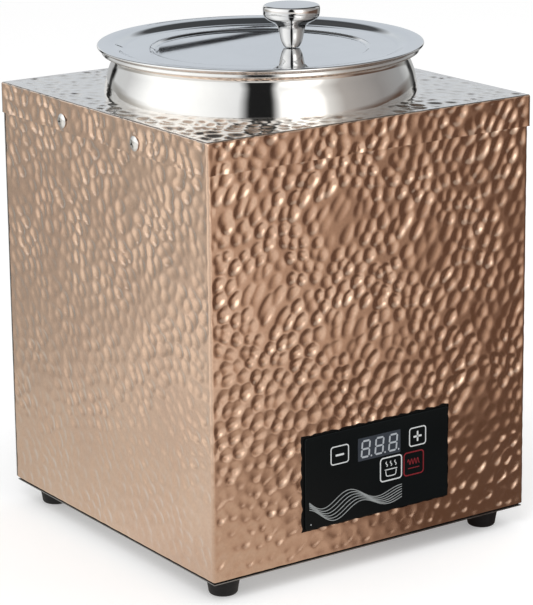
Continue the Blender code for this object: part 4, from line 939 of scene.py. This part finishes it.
def make_feet(material):
    for side in ("front_left", "front_right", "rear_left", "rear_right"):
        node = "foot_" + side
        low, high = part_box(node)
        centre = ((low.x + high.x) / 2, (low.y + high.y) / 2, 0)
        top = high.z
        profile = arc(0.0112 - 0.0022, 0.0022, 0.0022, -90, -8, 8)
        profile += [
            (0.0118, 0.0060), (0.0130, 0.0125), (0.0137, top - 0.0012), (0.0140, top - 0.0004),
            (0.0139, top), (0.0025, top), (0.0025, 0.007), (0.0058, 0.007), (0.0062, 0.0068),
            (0.0062, 0.0004), (0.0066, 0),
        ]
        piece = turned(node + "_moulded", profile, 64, material, "cabinet", centre, closed=True, smooth=40)
        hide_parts(node)


def square_ring(name, reach, inner, low, high, material):
    """A flat square ring lying level round the cabinet's axis."""
    bm = bmesh.new()
    rows = []
    for half, z in ((reach, low), (reach, high), (inner, high), (inner, low)):
        corners = ((-half, -half), (half, -half), (half, half), (-half, half))
        rows.append([bm.verts.new((x, y, z)) for x, y in corners])
    for k in range(4):
        band(bm, rows[k], rows[(k + 1) % 4])
    outward_normals(bm)
    return link_mesh(name, bm, material, "cabinet", 30)


def make_pan_lip(material, dark):
    """The base pan's edge below the wrap: a near-black ring of painted shade, for the shadow under the
    wrap's edge, over a bright lip.
    """
    lip = WRAP_BOTTOM - 0.0019
    for piece in (
        square_ring("pan_gap_painted_shade", 0.1464, 0.1440, lip, WRAP_BOTTOM + 0.0015, dark),
        square_ring("pan_lip", 0.1478, 0.1440, lip - 0.0007, lip, material),
    ):
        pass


def make_streak():
    """A thin dark bar of the studio, seen only as a streak in the lid."""
    dark = finish("studio_bar", (0.010, 0.010, 0.011), 0.1, 0.8, 0.05, specular=0.05)
    tip = Vector((0.0762, 0.2835, 0.4368))
    joint = Vector((0.0907, 0.2913, 0.4364))
    far_end = Vector((0.258, 0.3106, 0.4338))
    for name, start, end, radius in (("bar_tip", tip, joint, 0.0008), ("bar", joint, far_end, 0.0026)):
        bm = bmesh.new()
        bmesh.ops.create_cone(
            bm, cap_ends=True, segments=16, radius1=radius, radius2=radius * 0.9, depth=(end - start).length)
        bar = link_object(name, mesh_from(name, bm))
        bar.data.materials.append(dark)
        bar.location = (start + end) / 2
        bar.rotation_euler = (end - start).to_track_quat("Z", "Y").to_euler()
        bar.visible_camera = False
        bar.visible_shadow = False
        bar.visible_diffuse = False


# control panel
PLATE_FRONT = WRAP_LOW.y - 0.0004
PLATE_LEFT, PLATE_RIGHT = -0.0655, 0.0715
PLATE_LOW, PLATE_HIGH = WRAP_BOTTOM + 0.0226, WRAP_BOTTOM + 0.0958
# the dark back is painted shade: matte near-black, seen in the gap round the plate, widest at left and top
BACK_SIDE, BACK_ENDS = 0.012, 0.0048  # how far the dark back reaches behind the sheet
KEY_LINE = 0.0009
BIG_KEY_LINE = 0.0010
SIGN_LINE = 0.0007
WAVE_LINE = 0.0006


def rounded(x0, x1, z0, z1, radius, steps=6):
    """Outline of a rectangle with round corners, anticlockwise seen from the front."""
    out = []
    for cx, cz, start in ((x1 - radius, z1 - radius, 0), (x0 + radius, z1 - radius, 90),
                          (x0 + radius, z0 + radius, 180), (x1 - radius, z0 + radius, 270)):
        for step in range(steps + 1):
            angle = math.radians(start + 90 * step / steps)
            out.append((cx + radius * math.cos(angle), cz + radius * math.sin(angle)))
    return out


def slab(bm, outline, front, back, bevel=0.0):
    """A slab with the outline's front face at y front, its edges bevelled if asked."""
    count = len(outline)
    middle_x = sum(p[0] for p in outline) / count
    middle_z = sum(p[1] for p in outline) / count
    layers = [(front, bevel), (front + bevel, 0.0), (back, 0.0)] if bevel else [(front, 0.0), (back, 0.0)]
    rows = []
    for y, inset in layers:
        row = []
        for x, z in outline:
            dx, dz = x - middle_x, z - middle_z
            row.append(bm.verts.new((
                x - math.copysign(min(inset, abs(dx)), dx), y, z - math.copysign(min(inset, abs(dz)), dz)
            )))
        rows.append(row)
    for low, high in zip(rows, rows[1:]):
        band(bm, low, high)
    bm.faces.new(rows[0])
    bm.faces.new(list(reversed(rows[-1])))


def loop_line(bm, points, width, front, back, closed):
    """A flat printed line of even width along points in the panel's plane."""
    count = len(points)
    left, right = [], []
    for i in range(count):
        if closed:
            before, after = points[i - 1], points[(i + 1) % count]
        else:
            before, after = points[max(i - 1, 0)], points[min(i + 1, count - 1)]
        dx, dz = after[0] - before[0], after[1] - before[1]
        size = math.hypot(dx, dz) or 1.0
        nx, nz = -dz / size * width / 2, dx / size * width / 2
        left.append((points[i][0] + nx, points[i][1] + nz))
        right.append((points[i][0] - nx, points[i][1] - nz))
    rows = []
    for y, line in ((front, left), (front, right), (back, right), (back, left)):
        rows.append([bm.verts.new((x, y, z)) for x, z in line])
    for k in range(4):
        band(bm, rows[k], rows[(k + 1) % 4], closed)
    if not closed:
        for i in (0, count - 1):
            bm.faces.new([row[i] for row in rows])


def print_piece(name, build, material):
    """One printed or lit piece of the panel, filled in by build."""
    bm = bmesh.new()
    build(bm)
    outward_normals(bm)
    piece = link_mesh(name, bm, material, "cabinet", 30)


def digit_segments(x, z, width, height, lean):
    """The seven bars of a digit as outlines, slanted like a real display."""
    bar = width * 0.17
    gap = width * 0.035

    def place(px, pz):
        return x + px + lean * pz, z + pz

    def segment(x0, z0, x1, z1):
        """A bar with pointed ends from one point to another, level or upright."""
        dx, dz = (bar / 2, 0) if z0 == z1 else (0, bar / 2)
        return [place(*p) for p in (
            (x0, z0), (x0 + dx + dz, z0 + dz + dx), (x1 - dx + dz, z1 - dz + dx),
            (x1, z1), (x1 - dx - dz, z1 - dz - dx), (x0 + dx - dz, z0 + dz - dx))]

    half = height / 2
    first, last, top = bar / 2, width - bar / 2, height - bar / 2
    bars = [segment(first + gap, pz, last - gap, pz) for pz in (first, half, top)]
    for px in (first, last):
        for low, high in ((first, half), (half, top)):
            bars.append(segment(px, low + gap, px, high - gap))
    return bars


def make_panel():
    """The fascia behind its opening, with the keys, the display and the printed lines."""
    black = finish("panel_gloss", (0.0042, 0.0060, 0.0066), 0.12, 0.12, 0.03, scale=14, specular=0.14)
    # painted shade: a matte near-black, darker than the plate, for the shade in the gap round it
    dark = finish(
        "panel_gap_painted_shade", (0.0030, 0.0026, 0.0026), 0.15, 0.55, 0.08, scale=90, bump=0.2, specular=0.2)
    white = finish("print_white", (0.62, 0.64, 0.64), 0.05, 0.35, 0.05, scale=300, specular=0.3)
    grey = finish("print_grey", (0.30, 0.32, 0.32), 0.10, 0.35, 0.05, scale=200, specular=0.3)
    red = finish("print_red", (0.20, 0.012, 0.018), 0.12, 0.35, 0.05, scale=300, specular=0.3)
    glass = finish("display_window", (0.036, 0.044, 0.056), 0.08, 0.18, 0.04, scale=120, specular=0.4)
    lit = finish("display_bars", (0.40, 0.43, 0.46), 0.06, 0.4, 0.05, scale=500, specular=0.3)

    bm = bmesh.new()
    outline = rounded(OPENING_LEFT - BACK_SIDE, OPENING_RIGHT + BACK_SIDE,
                      OPENING_LOW - BACK_ENDS, OPENING_HIGH + BACK_ENDS, 0.003)
    slab(bm, outline, WRAP_LOW.y + 0.00155, WRAP_LOW.y + 0.0028, 0.0002)
    outward_normals(bm)
    back = link_mesh("fascia_back", bm, dark, "cabinet", 30)
    bm = bmesh.new()
    outline = rounded(PLATE_LEFT, PLATE_RIGHT, PLATE_LOW, PLATE_HIGH, 0.0022)
    slab(bm, outline, PLATE_FRONT, WRAP_LOW.y + 0.0013, 0.0005)
    outward_normals(bm)
    plate = link_mesh("fascia_plate", bm, black, "cabinet", 25)
    for piece in (back, plate):
        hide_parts("control_fascia")

    front = PLATE_FRONT - 0.00012
    sunk = PLATE_FRONT + 0.0002

    def at(z):
        return WRAP_BOTTOM + z

    def key(name, x0, x1, z0, z1, radius, material, width):
        print_piece(name, lambda bm: loop_line(
            bm, rounded(x0, x1, at(z0), at(z1), radius, 7), width, front, sunk, True), material)

    key("key_less_outline", -0.0416, -0.0252, 0.0703, 0.0843, 0.0022, white, KEY_LINE)
    key("key_more_outline", 0.0333, 0.0490, 0.0702, 0.0847, 0.0022, white, KEY_LINE)
    key("key_warm_outline", 0.0052, 0.0256, 0.0471, 0.0658, 0.0026, white, BIG_KEY_LINE)
    key("key_heat_outline", 0.0280, 0.0469, 0.0471, 0.0655, 0.0026, red, BIG_KEY_LINE)

    def bars(name, boxes, material):
        def build(bm):
            for x0, x1, z0, z1 in boxes:
                slab(bm, rounded(x0, x1, at(z0), at(z1), 0.00035, 3), front, sunk)
        print_piece(name, build, material)

    bars("key_less_sign", [(-0.0373, -0.0294, 0.0765, 0.0780)], white)
    bars("key_more_sign", [(0.0372, 0.0451, 0.0767, 0.0782), (0.0404, 0.0419, 0.0734, 0.0816)], white)

    # keep-warm key: steam over a small pot; heating key: a coil over a bar
    def warm_sign(bm):
        for shift in (-0.0042, 0.0, 0.0042):
            points = [(0.0154 + shift + 0.0008 * math.sin(t * math.pi / 4), at(0.0585 + 0.00050 * t))
                      for t in range(9)]
            loop_line(bm, points, SIGN_LINE, front, sunk, False)
        slab(bm, rounded(0.0094, 0.0214, at(0.0556), at(0.0563), 0.0003, 3), front, sunk)
        points = [(0.0103, at(0.0550)), (0.0108, at(0.0520)), (0.0121, at(0.0507)), (0.0187, at(0.0507)),
                  (0.0200, at(0.0520)), (0.0205, at(0.0550))]
        loop_line(bm, spline(points, 4), SIGN_LINE, front, sunk, False)

    def heat_sign(bm):
        points = [(0.0316 + 0.0005 * t, at(0.0578 + 0.0022 * math.sin(t * math.pi / 3))) for t in range(24)]
        loop_line(bm, spline(points, 2), SIGN_LINE, front, sunk, False)
        slab(bm, rounded(0.0318, 0.0430, at(0.0522), at(0.0529), 0.0003, 3), front, sunk)

    print_piece("key_warm_sign", warm_sign, white)
    print_piece("key_heat_sign", heat_sign, red)

    # display: window, three digits and their points
    window_x, window_z = -0.0162, 0.0680
    outline_window = rounded(window_x, 0.0245, at(window_z), at(0.0863), 0.0006, 3)
    print_piece("display_window", lambda bm: slab(bm, outline_window, PLATE_FRONT - 0.00006, sunk), glass)

    def digits(bm):
        width, height, lean = 0.0086, 0.0142, 0.09
        foot = at(window_z + 0.0020)
        for index in range(3):
            x = window_x + 0.0024 + index * 0.0131
            for outline in digit_segments(x, foot, width, height, lean):
                slab(bm, outline, front, sunk)
            point_x = x + width + 0.0010
            slab(bm, rounded(point_x, point_x + 0.0014, foot, foot + 0.0014, 0.0006, 4), front, sunk)

    print_piece("display_digits", digits, lit)

    # decoration: a ribbon of rolling wave lines
    def waves(bm):
        left, right = PLATE_LEFT + 0.0035, 0.0260
        for row in range(6):
            points = []
            for step in range(73):
                t = step / 72
                swell = (0.0072 - 0.0045 * t) * math.sin(2 * math.pi * (1.7 * t + 0.045 * row + 0.28))
                points.append((left + (right - left) * t, at(0.0318 + (0.0026 - 0.0012 * t) * row + swell)))
            loop_line(bm, points, WAVE_LINE, front, sunk, False)

    print_piece("wave_lines", waves, grey)
    print_piece("status_dot", lambda bm: slab(
        bm, rounded(-0.0612, -0.0600, at(0.0262), at(0.0274), 0.00055, 5), front, sunk), grey)


bpy.context.scene.view_settings.view_transform = "Standard"
make_camera()
make_world()
make_floor()
make_lamp("key", (-1.6, -1.5, 2.4), 1.6, 26)
make_lamp("fill", (1.9, -1.2, 1.6), 1.8, 12)

# both copper copies carry a painted sheen by viewing angle; the deck's copy pales from a lower angle on, so
# the top gets more painted sheen
copper = material_copper("hammered_copper_sheet_painted_sheen", [(0.35, 0.0), (0.55, 0.10), (0.76, 0.70), (1.0, 1.0)])
copper_deck_more_painted_sheen = material_copper("hammered_copper_deck_more_painted_sheen", [(0.15, 0.0), (0.42, 0.45), (0.70, 0.88), (1.0, 1.0)])
polished = steel("steel_polished", roughness=0.045)
cover = make_cover(copper, copper_deck_more_painted_sheen)
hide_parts("top_cover")
wrap = make_wrap(copper)
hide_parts("cabinet_wrap")
make_collar(polished)
make_pot(steel("steel_pot", (0.78, 0.78, 0.77), 0.10))
make_lid(steel("steel_lid", (0.80, 0.81, 0.82), 0.035, lines=False))
make_knob(steel("steel_knob", (0.80, 0.80, 0.80), 0.04, lines=False))

screw_steel = finish("screw_steel", (0.76, 0.76, 0.75), 0.06, 0.13, 0.05, 1.0, 250, bump=0.1)
plain = finish("sheet_steel", (0.55, 0.56, 0.57), 0.06, 0.34, 0.07, 1.0, (8, 8, 160), bump=0.10)
pan = finish("pan_steel", (0.34, 0.34, 0.34), 0.08, 0.42, 0.08, 1.0, 40, bump=0.15)
rubber = finish("rubber_black", (0.010, 0.010, 0.011), 0.15, 0.62, 0.10, scale=120, bump=0.25, specular=0.35)
plastic = finish("plastic_black", (0.018, 0.018, 0.019), 0.12, 0.45, 0.08, scale=120, bump=0.3)
# painted shade: near-black for the shadow under the wrap's lower edge
painted_shade_gap = finish("painted_shade_gap", (0.012, 0.010, 0.009), 0.2, 0.7, 0.08, scale=90, bump=0.2, specular=0.1)

make_feet(rubber)
random.seed(4)
# face (for the cover screws it is in the name), head radius, head height and shank radius of each group
for group, names, face, radius, height, shank in (
    ("cover_screw_", ("left_front", "left_rear", "right_front", "right_rear"), None, 0.0058, 0.0022, 0.002),
    ("rear_screw_", ("left_low", "left_high", "right_low", "right_high"), "back", 0.0038, 0.0018, 0.0018),
    ("inlet_screw_", ("left", "right"), "back", 0.0027, 0.0014, 0.0014),
    ("foot_screw_", ("front_left", "front_right", "rear_left", "rear_right"), "down", 0.0046, 0.003, 0.0022),
):
    for name in names:
        turn = random.uniform(0, 1.5)
        side = face or name.split("_")[0]
        screw = make_screw(group + name, side, radius, height, shank, turn, screw_steel)
make_panel()
make_pan_lip(pan, painted_shade_gap)
make_streak()

keep(["rear_panel"], plain)
keep(["base_pan"], pan)
keep(["well_liner", "heater_clamp", "clamp_bolt", "temperature_probe", "panel_stud_left",
      "panel_stud_right", "knob_screw", "knob_washer", "transformer"],
     finish("steel_inside", (0.50, 0.51, 0.52), 0.07, 0.36, 0.08, 1.0))
keep(["heating_plate"], finish("cast_aluminium", (0.62, 0.63, 0.64), 0.08, 0.48, 0.08, 1.0, bump=0.4))
keep(["heater_terminal_left", "heater_terminal_right", "inlet_pin_live", "inlet_pin_neutral",
      "inlet_pin_earth", "standoff_left_front", "standoff_left_rear", "standoff_right_front",
      "standoff_right_rear"],
     finish("brass_plain", (0.60, 0.46, 0.20), 0.06, 0.28, 0.06, 1.0))
keep(["control_housing", "inlet_shell"], plastic)
keep(["control_board", "power_board"], finish("board_green", (0.03, 0.15, 0.07), 0.15, 0.38, 0.06))
keep(["display_module"], finish("display_body", (0.10, 0.11, 0.12), 0.08, 0.30, 0.05))
keep(["thermal_cutout", "terminal_block"],
     finish("ceramic_white", (0.70, 0.69, 0.65), 0.05, 0.45, 0.06, bump=0.1))
keep(["relay"], finish("relay_blue", (0.03, 0.10, 0.34), 0.10, 0.40, 0.05))
keep(["insulation_jacket"],
     finish("mineral_wool", (0.72, 0.69, 0.58), 0.15, 0.92, 0.04, bump=0.8, bump_scale=350.0))
keep(["heater_lead_left", "heater_lead_right", "probe_lead", "control_lead", "mains_lead"],
     finish("lead_jacket", (0.42, 0.05, 0.045), 0.10, 0.50, 0.06))
